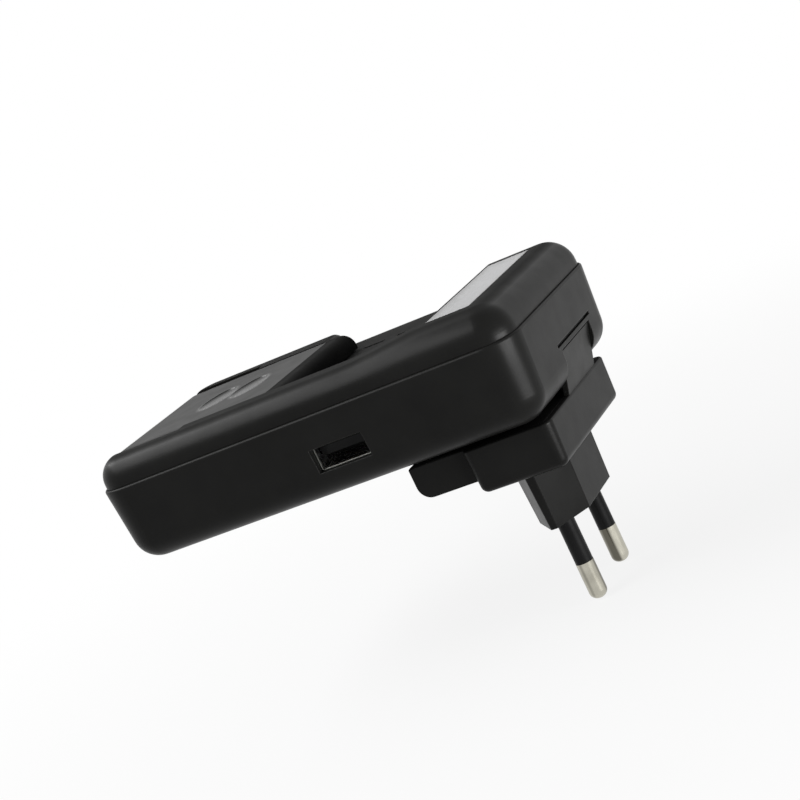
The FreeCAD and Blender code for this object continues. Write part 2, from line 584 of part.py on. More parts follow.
def top_cover():
    body = new_body("top_cover")
    outline = new_sketch(body, "upper_outline", offset=PARTING)
    draw_rounded_box(outline, COVER_LEFT, COVER_RIGHT, f"-{COVER_SIDE}", COVER_SIDE,
                     "sizes.corner_radius - sizes.rim_step")
    pad(body, outline, "sizes.upper_height")
    round_edges(body, "upper_edge", "sizes.upper_edge_radius", at_level(COVER_TOP))

    # Far rim, a little lower than the near one and rounded again along its edge
    outside = f"({BODY_LEFT} - sizes.wall)"
    beyond = f"({BODY_SIDE} + sizes.wall)"
    far_rim = new_sketch(body, "far_rim", offset=COVER_TOP)
    draw_box(far_rim, outside, HOOD_FACE, "0", beyond)
    pocket(body, far_rim, "sizes.far_rim_drop")
    level = at_level(f"{COVER_TOP} - sizes.far_rim_drop")
    face = value(HOOD_FACE)
    round_edges(body, "far_rim_edge", "sizes.far_rim_radius",
                lambda box: level(box) and box.YMax > SLACK and box.XMin < face - box.XLength / 2 - SLACK)

    # Raised frame of the display, rounded where it falls to the end
    edging = new_sketch(body, "display_frame", offset=COVER_TOP)
    draw_box(edging, HOOD_FACE, FRAME_RIGHT, f"-{FRAME_SIDE}", FRAME_SIDE)
    pad(body, edging, "sizes.frame_rise")
    top = at_level(FRAME_TOP)
    end = at_level(FRAME_RIGHT, "X")
    round_edges(body, "frame_edge", "sizes.frame_edge_radius", lambda box: top(box) and end(box))

    # Bay, open on the far side, and the clamp's channel, open at the left end
    bay = new_sketch(body, "battery_bay", offset=COVER_TOP)
    draw_outline(bay, [
        (JAW_FACE, f"-{CHANNEL_SIDE}"), (HOOD_FACE, f"-{CHANNEL_SIDE}"), (HOOD_FACE, beyond),
        (JAW_BACK, beyond), (JAW_BACK, CHANNEL_SIDE), (JAW_FACE, CHANNEL_SIDE),
    ])
    pocket(body, bay, "sizes.bay_depth")
    marks = new_sketch(body, "floor_marks", offset=BAY_FLOOR)
    start = f"({JAW_FACE} + sizes.mark_inset)"
    for length in ("sizes.mark_long", "sizes.mark_short"):
        draw_box(marks, start, f"{start} + {length}",
                 "sizes.mark_offset", "sizes.mark_offset + sizes.mark_width")
        start = f"({start} + {length} + sizes.mark_gap)"
    pocket(body, marks, "sizes.mark_depth")
    rim_end = at_level(JAW_BACK, "X")
    half_up = value(f"{BAY_FLOOR} + sizes.bay_depth / 2")
    round_edges(body, "rim_end", "sizes.rim_end_radius",
                lambda box: rim_end(box) and box.ZMin > half_up)
    channel = new_sketch(body, "clamp_channel", offset=COVER_TOP)
    draw_outline(channel, [
        (JAW_FACE, f"-{CHANNEL_SIDE}"), (JAW_FACE, CHANNEL_SIDE),
        (SHOULDER, CHANNEL_SIDE), (SHOULDER, TAIL_SIDE), (outside, TAIL_SIDE),
        (outside, f"-{TAIL_SIDE}"), (SHOULDER, f"-{TAIL_SIDE}"), (SHOULDER, f"-{CHANNEL_SIDE}"),
    ])
    pocket(body, channel, "sizes.bay_depth")
    mouth = new_sketch(body, "skirt_room", offset=COVER_TOP)
    draw_box(mouth, outside, f"{SKIRT_BACK} + sizes.clamp_gap", f"-{TAIL_SIDE}", TAIL_SIDE)
    pocket(body, mouth, "sizes.upper_height")
    slot = new_sketch(body, "boss_slot", offset=BAY_FLOOR)
    draw_box(slot, f"{BOSS_LEFT} - sizes.clamp_travel - sizes.clamp_gap", f"{BOSS_RIGHT} + sizes.clamp_gap",
             "-sizes.boss_width / 2 - sizes.clamp_gap", "sizes.boss_width / 2 + sizes.clamp_gap")
    pocket(body, slot, f"{BAY_FLOOR} - {PARTING}")

    # Hood: hollow from below, display window on top, contact slots in its face
    hood = new_sketch(body, "hood_hollow", offset=PARTING)
    hood_side = f"({COVER_SIDE} - sizes.hood_side_wall)"
    draw_rounded_box(hood, HOOD_INNER, f"{COVER_RIGHT} - sizes.hood_side_wall", f"-{hood_side}", hood_side,
                     "sizes.hood_corner_radius")
    pocket(body, hood, f"{HOOD_CEILING} - {PARTING}", along=True)
    room = new_sketch(body, "panel_room", offset=PARTING)
    draw_box(room, HOOD_INNER, f"{WINDOW_RIGHT} + sizes.window_ledge",
             "-sizes.window_length / 2", "sizes.window_length / 2")
    pocket(body, room, f"{PANEL_TOP} - {PARTING}", along=True)
    seat = new_sketch(body, "window_seat", offset=FRAME_TOP)
    half = "(sizes.window_length / 2 + sizes.seat_clearance)"
    draw_box(seat, f"{WINDOW_LEFT} - sizes.seat_clearance", f"{WINDOW_RIGHT} + sizes.seat_clearance",
             f"-{half}", half)
    pocket(body, seat, "sizes.window_thickness")
    opening = new_sketch(body, "window_opening", offset=FRAME_TOP)
    half = "(sizes.window_length / 2 - sizes.window_ledge)"
    draw_box(opening, f"{HOOD_INNER} + sizes.seat_clearance", f"{WINDOW_RIGHT} - sizes.window_ledge",
             f"-{half}", half)
    pocket(body, opening, "sizes.hood_roof")
    slots = new_sketch(body, "contact_slots", "YZ_Plane", HOOD_FACE)
    reach = "(sizes.contact_travel + sizes.contact_width / 2 + sizes.clamp_gap)"
    for side in ("-", ""):
        middle = f"{side}sizes.contact_spread / 2"
        draw_box(slots, f"{middle} - {reach}", f"{middle} + {reach}",
                 f"{CONTACT_BOTTOM} - sizes.clamp_gap", f"{CONTACT_TOP} + sizes.clamp_gap")
    pocket(body, slots, "sizes.hood_wall", along=True)

    # Shelf under the contact sliders, spring anchor, screw bosses
    shelf = new_sketch(body, "slider_shelf", "XZ_Plane", f"-{CHANNEL_SIDE}")
    shelf_low = f"({SHELF_TOP} - sizes.shelf_thickness)"
    draw_outline(shelf, [
        (HOOD_FACE, f"{PARTING} + sizes.clamp_gap"), (HOOD_FACE, shelf_low),
        (SLIDER_RIGHT, shelf_low), (SLIDER_RIGHT, SHELF_TOP), (HOOD_INNER, SHELF_TOP),
        (HOOD_INNER, f"{PARTING} + sizes.clamp_gap"),
    ])
    pad(body, shelf, f"2 * {CHANNEL_SIDE}")
    anchor = new_sketch(body, "spring_anchor", offset=f"{PARTING} + sizes.clamp_gap")
    draw_box(anchor, ANCHOR_LEFT, f"{ANCHOR_LEFT} + sizes.anchor_length",
             "-sizes.anchor_length", "sizes.anchor_length")
    pad(body, anchor, f"{PARTING} + sizes.clamp_gap - {SPRING_HEIGHT} + sizes.spring_radius", along=False)
    bosses = new_sketch(body, "screw_bosses", offset=f"{PARTING} + sizes.clamp_gap")
    for x, y in screw_places():
        draw_circle(bosses, x, y, "sizes.post_radius")
    pad(body, bosses, "sizes.cover_boss_height + sizes.clamp_gap", along=False)
    pilots = new_sketch(body, "screw_pilots", offset=BOSS_FACE)
    for x, y in screw_places():
        draw_circle(pilots, x, y, "sizes.screw_radius + sizes.screw_gap / 2")
    pocket(body, pilots, f"{SCREW_TOP} + sizes.screw_gap - {BOSS_FACE}", along=True)
    return body


def display():
    half = "(sizes.window_length / 2)"
    window = prism("display_window", WINDOW_LEFT, WINDOW_RIGHT, f"-{half}", half,
                   f"{FRAME_TOP} - sizes.window_thickness", FRAME_TOP)
    panel = prism("display_panel", f"{HOOD_INNER} + sizes.clamp_gap", f"{WINDOW_RIGHT} + sizes.window_ledge / 2",
                  f"-{half} + sizes.seat_clearance", f"{half} - sizes.seat_clearance",
                  PANEL_BOTTOM, PANEL_TOP)
    right = f"({WINDOW_RIGHT} - sizes.window_ledge / 2)"
    strip = prism("display_connector", f"{right} - sizes.strip_width", right,
                  "-sizes.strip_length / 2", "sizes.strip_length / 2", BOARD_TOP, PANEL_BOTTOM)
    return [window, panel, strip]


def clamp_plate():
    body = new_body("clamp_plate")
    plan = new_sketch(body, "clamp_plan", offset=SKIRT_BOTTOM)
    side = f"({CHANNEL_SIDE} - sizes.channel_gap)"
    tail = f"({TAIL_SIDE} - sizes.channel_gap)"
    shoulder = f"({SHOULDER} - sizes.channel_gap)"
    draw_outline(plan, [
        (JAW_BACK, f"-{side}"), (JAW_BACK, side), (shoulder, side), (shoulder, tail),
        (COVER_LEFT, tail), (COVER_LEFT, f"-{tail}"), (shoulder, f"-{tail}"), (shoulder, f"-{side}"),
    ])
    pad(body, plan, f"{CLAMP_TOP} - {SKIRT_BOTTOM}")
    round_edges(body, "tail_corners", "sizes.clamp_corner_radius",
                upright_at([COVER_LEFT], [tail, f"-{tail}"]))
    left = value(COVER_LEFT)
    reach = value(COVER_LEFT) + value("sizes.clamp_corner_radius") + 0.01
    top = at_level(CLAMP_TOP)
    round_edges(body, "tail_edge", "sizes.clamp_edge_radius",
                lambda box: top(box) and box.XMin < left + 0.01 and box.XMax < reach)
    under = new_sketch(body, "running_room", offset=SKIRT_BOTTOM)
    draw_box(under, SKIRT_BACK, f"{JAW_BACK} + sizes.wall", f"-{TAIL_SIDE}", TAIL_SIDE)
    pocket(body, under, f"{CLAMP_BOTTOM} - {SKIRT_BOTTOM}", along=True)
    hollow = new_sketch(body, "clamp_hollow", offset=CLAMP_BOTTOM)
    inner = f"({side} - sizes.clamp_side)"
    draw_box(hollow, f"{SKIRT_BACK} + sizes.clamp_side", f"{BOSS_LEFT} - sizes.clamp_side", f"-{inner}", inner)
    pocket(body, hollow, f"{CLAMP_TOP} - sizes.clamp_skin - {CLAMP_BOTTOM}", along=True)
    boss = new_sketch(body, "clamp_boss", offset=BOSS_BOTTOM)
    draw_box(boss, BOSS_LEFT, BOSS_RIGHT, "-sizes.boss_width / 2", "sizes.boss_width / 2")
    pad(body, boss, f"{CLAMP_BOTTOM} + sizes.clamp_gap - {BOSS_BOTTOM}")
    pilot = new_sketch(body, "clamp_pilot", offset=BOSS_BOTTOM)
    draw_circle(pilot, RETAINER_MIDDLE, "0", "sizes.clamp_screw_radius + sizes.screw_gap / 2")
    pocket(body, pilot, "sizes.clamp_screw_length - sizes.retainer_thickness + sizes.screw_gap", along=True)
    grips = (f"{JAW_BACK} - sizes.grip_spacing - sizes.grip_length / 2",
             f"{JAW_BACK} - 2 * sizes.grip_spacing - sizes.grip_length / 2")
    for number, middle in enumerate(grips, 1):
        dimple = body.newObject("PartDesign::SubtractiveEllipsoid", f"thumb_dimple_{number}")
        dimple.setExpression("Radius1", "sizes.grip_depth")
        dimple.setExpression("Radius2", "sizes.grip_length / 2")
        dimple.setExpression("Radius3", "sizes.grip_width / 2")
        dimple.setExpression("Placement.Base.x", middle)
        dimple.setExpression("Placement.Base.z", CLAMP_TOP)
        doc.recompute()
    lip = new_sketch(body, "jaw_lip", "XZ_Plane", f"-{side}")
    lip_top = f"({CLAMP_BOTTOM} + sizes.jaw_lip)"
    draw_box(lip, JAW_BACK, f"{JAW_BACK} + sizes.jaw_depth / 2", CLAMP_BOTTOM, lip_top)
    pad(body, lip, f"2 * {side}")
    return body


def clamp_jaw():
    """Soft nose on the clamp's front: flat face towards the battery, rounded above."""
    body = new_body("clamp_jaw")
    side = f"({CHANNEL_SIDE} - sizes.channel_gap)"
    profile = new_sketch(body, "jaw_profile", "XZ_Plane", f"-{side}")
    lip_top = f"({CLAMP_BOTTOM} + sizes.jaw_lip)"
    draw_outline(profile, [
        (JAW_BACK, CLAMP_TOP), (JAW_BACK, lip_top),
        (f"{JAW_BACK} + sizes.jaw_depth / 2", lip_top), (f"{JAW_BACK} + sizes.jaw_depth / 2", CLAMP_BOTTOM),
        (JAW_FACE, CLAMP_BOTTOM), (JAW_FACE, CLAMP_TOP),
    ])
    pad(body, profile, f"2 * {side}")
    front = at_level(JAW_FACE, "X")
    top = at_level(CLAMP_TOP)
    round_edges(body, "jaw_nose", "sizes.jaw_radius", lambda box: front(box) and top(box))
    return body


def clamp_retainer():
    """Plate under the channel floor that keeps the clamp down, with a lip for the spring."""
    body = new_body("clamp_retainer")
    plan = new_sketch(body, "retainer_plan", offset=RETAINER_BOTTOM)
    draw_box(plan, f"{RETAINER_MIDDLE} - sizes.retainer_length / 2", RETAINER_RIGHT,
             "-sizes.retainer_width / 2", "sizes.retainer_width / 2")
    pad(body, plan, "sizes.retainer_thickness")
    lip = new_sketch(body, "retainer_lip", offset=RETAINER_BOTTOM)
    draw_box(lip, f"{RETAINER_RIGHT} - sizes.retainer_thickness", RETAINER_RIGHT,
             "-sizes.spring_radius", "sizes.spring_radius")
    pad(body, lip, "sizes.retainer_lip", along=False)
    hole = new_sketch(body, "retainer_hole", offset=RETAINER_BOTTOM)
    draw_circle(hole, RETAINER_MIDDLE, "0", "sizes.clamp_screw_radius + sizes.screw_gap")
    pocket(body, hole, "sizes.retainer_thickness", along=True)
    return body


def screw(body, shank_radius, shank_length, head_radius, head_height):
    """Pan-head screw on its own axis: head below its seat at z 0, shank upwards."""
    half = new_sketch(body, body.Name + "_section", "XZ_Plane")
    draw_outline(half, [
        ("0", f"-{head_height}"), (head_radius, f"-{head_height}"), (head_radius, "0"),
        (shank_radius, "0"), (shank_radius, shank_length), ("0", shank_length),
    ])
    turn = body.newObject("PartDesign::Revolution", body.Name + "_turn")
    turn.Profile = half
    turn.ReferenceAxis = (half, ["V_Axis"])
    turn.Angle = 360
    doc.recompute()
    return body


def place(body, x, y, z):
    for axis, expression in zip("xyz", (x, y, z)):
        body.setExpression(f"Placement.Base.{axis}", expression)
    doc.recompute()
    return body


def clamp_screw():
    body = new_body("clamp_screw")
    screw(body, "sizes.clamp_screw_radius", "sizes.clamp_screw_length",
          "sizes.clamp_screw_head", "sizes.clamp_screw_radius")
    return place(body, RETAINER_MIDDLE, "0", RETAINER_BOTTOM)


def case_screws():
    """Four alike screws as one group of separate solids."""
    pieces = []
    for number, (x, y) in enumerate(screw_places(), 1):
        body = new_body(f"case_screw_{number}")
        screw(body, "sizes.screw_radius", "sizes.screw_length",
              "sizes.screw_head_radius", "sizes.screw_head_height")
        pieces.append(place(body, x, y, SCREW_SEAT))
    group = doc.addObject("Part::Compound", "case_screws")
    group.Label = "case_screws"
    group.Links = pieces
    doc.recompute()
    return group


def clamp_spring():
    """Open coil between the retainer's lip and the cover's anchor."""
    body = new_body("clamp_spring")
    start = f"({RETAINER_RIGHT} + sizes.spring_wire_radius + sizes.seat_clearance)"
    end = f"({ANCHOR_LEFT} - sizes.spring_wire_radius - sizes.seat_clearance)"
    wire = new_sketch(body, "spring_wire", "XZ_Plane")
    draw_circle(wire, "sizes.spring_radius", "0", "sizes.spring_wire_radius")
    coil = body.newObject("PartDesign::AdditiveHelix", "spring_coil")
    coil.Profile = wire
    coil.ReferenceAxis = (wire, ["V_Axis"])
    coil.Mode = "pitch-height-angle"
    coil.setExpression("Pitch", "sizes.spring_pitch")
    coil.setExpression("Height", f"{end} - {start}")
    coil.Growth = 0
    body.Placement.Rotation = FreeCAD.Rotation(FreeCAD.Vector(0, 1, 0), 90)
    return place(body, start, "0", SPRING_HEIGHT)


def contacts():
    """Two sprung fingers, each on a slider behind the hood's face, and the rails they wipe."""
    pieces = []
    for name, side in (("near", "-"), ("far", "")):
        middle = f"{side}sizes.contact_spread / 2"
        slider = prism(f"contact_slider_{name}", SLIDER_LEFT, SLIDER_RIGHT,
                       f"{middle} - sizes.slider_width / 2", f"{middle} + sizes.slider_width / 2",
                       SLIDER_BOTTOM, CONTACT_BOTTOM)
        finger = new_body(f"contact_finger_{name}")
        half = "sizes.contact_width / 2"
        bend = new_sketch(finger, f"finger_bend_{name}", "XZ_Plane", f"-({middle}) - {half}")
        tip = f"({HOOD_FACE} - sizes.contact_reach)"
        leg = f"({SLIDER_RIGHT} + sizes.contact_thickness)"
        foot = f"({RAIL_TOP} + sizes.seat_clearance)"
        draw_outline(bend, [
            (tip, CONTACT_TOP), (tip, CONTACT_BOTTOM), (SLIDER_RIGHT, CONTACT_BOTTOM),
            (SLIDER_RIGHT, foot), (leg, foot), (leg, CONTACT_TOP),
        ])
        pad(finger, bend, "sizes.contact_width")
        at_tip = at_level(tip, "X")
        round_edges(finger, f"finger_tip_{name}", f"{half} * sizes.finger_round_share",
                    lambda box: at_tip(box) and box.ZLength > SLACK)
        rail_middle = f"({SLIDER_RIGHT} + sizes.contact_thickness / 2)"
        rail = prism(f"contact_rail_{name}", f"{rail_middle} - sizes.rail_width / 2",
                     f"{rail_middle} + sizes.rail_width / 2", f"{middle} - sizes.rail_length / 2",
                     f"{middle} + sizes.rail_length / 2", BOARD_TOP, RAIL_TOP)
        pieces += [slider, finger, rail]
    return pieces


def circuit_board():
    board = prism("circuit_board", BOARD_LEFT, BOARD_RIGHT, "-sizes.board_width / 2", "sizes.board_width / 2",
                  BOARD_BOTTOM, BOARD_TOP)
    notches = new_sketch(board, "board_notches", offset=BOARD_TOP)
    for x, y in screw_places():
        draw_circle(notches, x, y, "sizes.post_radius + 2 * sizes.clamp_gap")
    pocket(board, notches, "sizes.board_thickness")
    chip_x = f"({USB_X} - sizes.usb_inner_width / 2)"
    chip_y = "(sizes.board_width / 4)"
    chip = prism("controller_chip", f"{chip_x} - sizes.chip_length / 2", f"{chip_x} + sizes.chip_length / 2",
                 f"{chip_y} - sizes.chip_width / 2", f"{chip_y} + sizes.chip_width / 2",
                 BOARD_TOP, f"{BOARD_TOP} + sizes.chip_height")
    return [board, chip]


def transformer():
    """Ferrite core with two windows, and the coil round its middle leg."""
    middle_x = f"({BOARD_LEFT} + sizes.board_post_inset + 1.2 * sizes.core_length)"
    middle_z = f"({BOARD_BOTTOM} - sizes.coil_height / 2)"
    core = new_body("transformer_core")
    plan = new_sketch(core, "core_plan", offset=f"{middle_z} - sizes.core_height / 2")
    draw_box(plan, f"{middle_x} - sizes.core_length / 2", f"{middle_x} + sizes.core_length / 2",
             "-sizes.core_width / 2", "sizes.core_width / 2")
    pad(core, plan, "sizes.core_height")
    windows = new_sketch(core, "core_windows", offset=f"{middle_z} - sizes.core_height / 2")
    for side in ("-", "+"):
        edges = (f"{middle_x} {side} sizes.core_middle_leg / 2",
                 f"{middle_x} {side} (sizes.core_length / 2 - sizes.core_leg)")
        left, right = edges if side == "+" else edges[::-1]
        draw_box(windows, left, right,
                 "-sizes.core_width / 2 + sizes.core_leg", "sizes.core_width / 2 - sizes.core_leg")
    pocket(core, windows, "sizes.core_height", along=True)
    coil = new_body("transformer_coil")
    length = "(sizes.core_width - 2 * sizes.core_leg - 2 * sizes.coil_gap)"
    section = new_sketch(coil, "coil_section", "XZ_Plane", f"-{length} / 2")
    half = "(sizes.core_length / 2 - sizes.core_leg - sizes.coil_gap)"
    draw_rounded_box(section, f"{middle_x} - {half}", f"{middle_x} + {half}",
                     f"{middle_z} - sizes.coil_height / 2", f"{middle_z} + sizes.coil_height / 2", f"{half} / 3")
    draw_box(section, f"{middle_x} - sizes.core_middle_leg / 2 - sizes.coil_gap",
             f"{middle_x} + sizes.core_middle_leg / 2 + sizes.coil_gap",
             f"{middle_z} - sizes.core_height / 2 - sizes.coil_gap",
             f"{middle_z} + sizes.core_height / 2 + sizes.coil_gap")
    pad(coil, section, length)
    return [core, coil]


def board_cans():
    """Capacitors and the fusible resistor that hang under the board."""
    lying = new_body("input_capacitor")
    end = new_sketch(lying, "input_can_end", "XZ_Plane", "-sizes.input_can_length / 2")
    draw_circle(end, f"{BOARD_LEFT} + sizes.board_post_inset + sizes.input_can_radius",
                f"{BOARD_BOTTOM} - sizes.input_can_radius", "sizes.input_can_radius")
    pad(lying, end, "sizes.input_can_length")
    upright = new_body("output_capacitor")
    ring = new_sketch(upright, "output_can_end", offset=BOARD_BOTTOM)
    draw_circle(ring, f"{WELL_LEFT} - sizes.output_can_radius",
                f"{WELL_SIDE} + sizes.well_wall + sizes.output_can_radius + sizes.wall / 2",
                "sizes.output_can_radius")
    pad(upright, ring, "sizes.output_can_height", along=False)
    fuse = new_body("fuse_resistor")
    cap = new_sketch(fuse, "fuse_end", "YZ_Plane", f"{USB_X} - sizes.usb_inner_width")
    draw_circle(cap, "sizes.board_width / 2 - 2 * sizes.fuse_radius", f"{BOARD_BOTTOM} - sizes.fuse_radius",
                "sizes.fuse_radius")
    pad(fuse, cap, "sizes.fuse_length")
    return [lying, upright, fuse]


def usb_socket():
    """Metal sheath with an insulated tongue that carries four contacts."""
    shell = new_body("usb_shell")
    back = f"({USB_FRONT} + sizes.usb_depth)"
    section = new_sketch(shell, "usb_shell_section", "XZ_Plane", f"-{back}")
    draw_box(section, f"{USB_X} - {USB_HALF_WIDTH}", f"{USB_X} + {USB_HALF_WIDTH}",
             f"{USB_Z} - {USB_HALF_HEIGHT}", f"{USB_Z} + {USB_HALF_HEIGHT}")
    draw_box(section, f"{USB_X} - sizes.usb_inner_width / 2", f"{USB_X} + sizes.usb_inner_width / 2",
             f"{USB_Z} - sizes.usb_inner_height / 2", f"{USB_Z} + sizes.usb_inner_height / 2")
    pad(shell, section, "sizes.usb_depth")
    tongue = new_body("usb_tongue")
    base = new_sketch(tongue, "usb_base", "XZ_Plane", f"-{back}")
    draw_box(base, f"{USB_X} - sizes.usb_inner_width / 2", f"{USB_X} + sizes.usb_inner_width / 2",
             f"{USB_Z} - sizes.usb_inner_height / 2", f"{USB_Z} + sizes.usb_inner_height / 2")
    pad(tongue, base, "sizes.usb_base_depth")
    low = f"({USB_Z} + sizes.usb_tongue_rise - sizes.usb_tongue_thickness / 2)"
    blade = new_sketch(tongue, "usb_blade", "XZ_Plane", f"-{back} + sizes.usb_base_depth")
    draw_box(blade, f"{USB_X} - sizes.usb_tongue_width / 2", f"{USB_X} + sizes.usb_tongue_width / 2",
             low, f"{low} + sizes.usb_tongue_thickness")
    pad(tongue, blade, "sizes.usb_tongue_length")
    strips = new_body("usb_contact_strip")
    first = new_sketch(strips, "usb_strip", "XZ_Plane", f"-{back} + sizes.usb_base_depth")
    strip_x = f"({USB_X} - 1.5 * sizes.usb_contact_pitch)"
    draw_box(first, f"{strip_x} - sizes.usb_contact_width / 2", f"{strip_x} + sizes.usb_contact_width / 2",
             f"{low} - sizes.usb_contact_thickness", low)
    pad(strips, first, "sizes.usb_contact_length")
    group = doc.addObject("Part::Compound", "usb_contacts")
    group.Label = "usb_contacts"
    links = [strips]
    for number in range(1, 4):
        copy = doc.addObject("App::Link", f"usb_contact_{number}")
        copy.LinkedObject = strips
        copy.setExpression("Placement.Base.x", f"{number} * sizes.usb_contact_pitch")
        links.append(copy)
    group.Links = links
    doc.recompute()
    return [shell, tongue, group]


def folding_blades():
    """The charger's own flat blades on their barrel, folded out into the adapter."""
    carrier = new_body("blade_carrier")
    barrel = new_sketch(carrier, "carrier_barrel", "XZ_Plane", "-sizes.carrier_length / 2")
    draw_circle(barrel, "0", PIVOT_Z, "sizes.carrier_radius")
    pad(carrier, barrel, "sizes.carrier_length")
    axle = new_sketch(carrier, "carrier_axle", "XZ_Plane", "-sizes.carrier_length / 2 - sizes.axle_length")
    draw_circle(axle, "0", PIVOT_Z, "sizes.axle_radius")
    pad(carrier, axle, "sizes.carrier_length + 2 * sizes.axle_length")
    blade_top = f"({PIVOT_Z} + sizes.blade_embed)"
    wide = new_sketch(carrier, "blade_slots", offset=blade_top)
    narrow = new_sketch(carrier, "tang_slots", offset=TANG_TOP)
    for side in ("-", ""):
        near = f"{side}sizes.blade_spacing / 2 - sizes.blade_thickness / 2"
        far = f"{side}sizes.blade_spacing / 2 + sizes.blade_thickness / 2"
        draw_box(wide, "-sizes.blade_width / 2", "sizes.blade_width / 2", near, far)
        draw_box(narrow, "-sizes.tang_width / 2", "sizes.tang_width / 2", near, far)
    pocket(carrier, wide, f"{blade_top} - {PIVOT_Z} + 2 * sizes.carrier_radius")
    pocket(carrier, narrow, f"{TANG_TOP} - {PIVOT_Z}")
    pieces = [carrier]
    for name, side in (("near", "-"), ("far", "")):
        middle = f"{side}sizes.blade_spacing / 2"
        blade = new_body(f"blade_{name}")
        face = new_sketch(blade, f"blade_face_{name}", "XZ_Plane", f"-({middle}) - sizes.blade_thickness / 2")
        draw_outline(face, [
            ("-sizes.blade_width / 2", BLADE_TIP), ("sizes.blade_width / 2", BLADE_TIP),
            ("sizes.blade_width / 2", blade_top), ("sizes.tang_width / 2", blade_top),
            ("sizes.tang_width / 2", TANG_TOP), ("-sizes.tang_width / 2", TANG_TOP),
            ("-sizes.tang_width / 2", blade_top), ("-sizes.blade_width / 2", blade_top),
        ])
        pad(blade, face, "sizes.blade_thickness")
        tip = at_level(BLADE_TIP)
        round_edges(blade, f"blade_tip_{name}", "sizes.blade_thickness",
                    lambda box: tip(box) and box.YLength > SLACK)
        half = "sizes.terminal_thickness / 2"
        terminal = prism(f"mains_terminal_{name}", "-sizes.terminal_width / 2", "sizes.terminal_width / 2",
                         f"{middle} - {half}", f"{middle} + {half}", TANG_TOP, BOARD_BOTTOM)
        pieces += [blade, terminal]
    return pieces


def hexagon(inset):
    """Plan of the plug nose, drawn in by an inset on every side."""
    x = f"(sizes.nose_half_width - {inset})"
    flat = f"(sizes.nose_flat / 2 - {inset} / 3)"
    tip = f"(sizes.nose_tip / 2 - {inset} / 3)"
    end = f"(sizes.nose_length / 2 - sizes.nose_end_share * {inset})"
    right = [(x, f"-{flat}"), (x, flat), (tip, end)]
    left = [(f"-{tip}", end), (f"-{x}", flat), (f"-{x}", f"-{flat}"), (f"-{tip}", f"-{end}"), (tip, f"-{end}")]
    return right + left


def adapter_body():
    body = new_body("adapter_body")
    block = new_sketch(body, "adapter_block", offset=ADAPTER_TOP)
    draw_rounded_box(block, ADAPTER_BACK, "sizes.adapter_front",
                     "-sizes.adapter_width / 2", "sizes.adapter_width / 2",
                     "sizes.adapter_corner_radius")
    pad(body, block, "sizes.adapter_height", along=False, taper="-sizes.adapter_draft")
    round_edges(body, "adapter_low_edge", "sizes.adapter_edge_radius", at_level("sizes.nose_height"))
    heel = new_sketch(body, "adapter_heel", "XZ_Plane", "-sizes.heel_width / 2")
    draw_box(heel, HEEL_BACK, f"{ADAPTER_BACK} + sizes.adapter_wall", HEEL_BOTTOM, ADAPTER_TOP)
    pad(body, heel, "sizes.heel_width")
    low = at_level(HEEL_BOTTOM)
    back = at_level(HEEL_BACK, "X")
    round_edges(body, "heel_edge", "sizes.heel_radius", lambda box: low(box) and back(box))
    round_edges(body, "adapter_top_edge", "sizes.adapter_top_radius", at_level(ADAPTER_TOP))
    nose = new_sketch(body, "nose_plan", offset="sizes.nose_height")
    draw_outline(nose, hexagon("0"))
    pad(body, nose, "sizes.nose_height", along=False, taper="-sizes.nose_draft")
    tall = value("sizes.nose_height") - SLACK
    round_edges(body, "nose_edges", "sizes.nose_edge_radius",
                lambda box: box.ZMin < SLACK and box.ZLength > tall)

    # Hollow for the clips, with a rebate round its mouth for the lid
    rebate = new_sketch(body, "lid_rebate", offset=ADAPTER_TOP)
    draw_outline(rebate, lid_plan("0"))
    pocket(body, rebate, "sizes.lid_thickness")
    room = new_sketch(body, "adapter_room", offset=LID_BOTTOM)
    draw_box(room, f"{ADAPTER_BACK} + sizes.adapter_wall", "sizes.adapter_front - sizes.adapter_wall",
             "-sizes.adapter_width / 2 + sizes.adapter_wall", "sizes.adapter_width / 2 - sizes.adapter_wall")
    pocket(body, room, f"{LID_BOTTOM} - sizes.nose_height - sizes.lid_thickness")
    heel_room = new_sketch(body, "heel_room", offset=LID_BOTTOM)
    draw_box(heel_room, f"{HEEL_BACK} + sizes.adapter_wall", f"{ADAPTER_BACK} + sizes.adapter_wall",
             "-sizes.heel_width / 2 + sizes.adapter_wall", "sizes.heel_width / 2 - sizes.adapter_wall")
    pocket(body, heel_room, f"{LID_BOTTOM} - {HEEL_BOTTOM} - sizes.lid_thickness")
    throat = new_sketch(body, "nose_room", offset="sizes.nose_height + sizes.lid_thickness")
    draw_outline(throat, hexagon("sizes.nose_wall"))
    pocket(body, throat, "sizes.nose_height + sizes.lid_thickness - sizes.nose_floor", taper="-sizes.nose_draft")
    holes = new_sketch(body, "pin_holes", offset="sizes.nose_floor")
    for side in ("-", ""):
        draw_circle(holes, "0", f"{side}sizes.pin_spacing / 2", "sizes.sleeve_radius + sizes.sleeve_gap")
    pocket(body, holes, "sizes.nose_floor")

    # Latch tongue that stands in the notch of the charger's end wall
    latch = new_sketch(body, "latch_tongue", "XZ_Plane", f"-{LATCH_FAR}")
    draw_outline(latch, [
        (FOOT_BACK, LATCH_FOOT), ("sizes.adapter_front - sizes.latch_ledge", LATCH_FOOT),
        (LATCH_FACE, LATCH_TOP), (LATCH_BACK, LATCH_TOP),
    ])
    pad(body, latch, "sizes.latch_width")
    return body


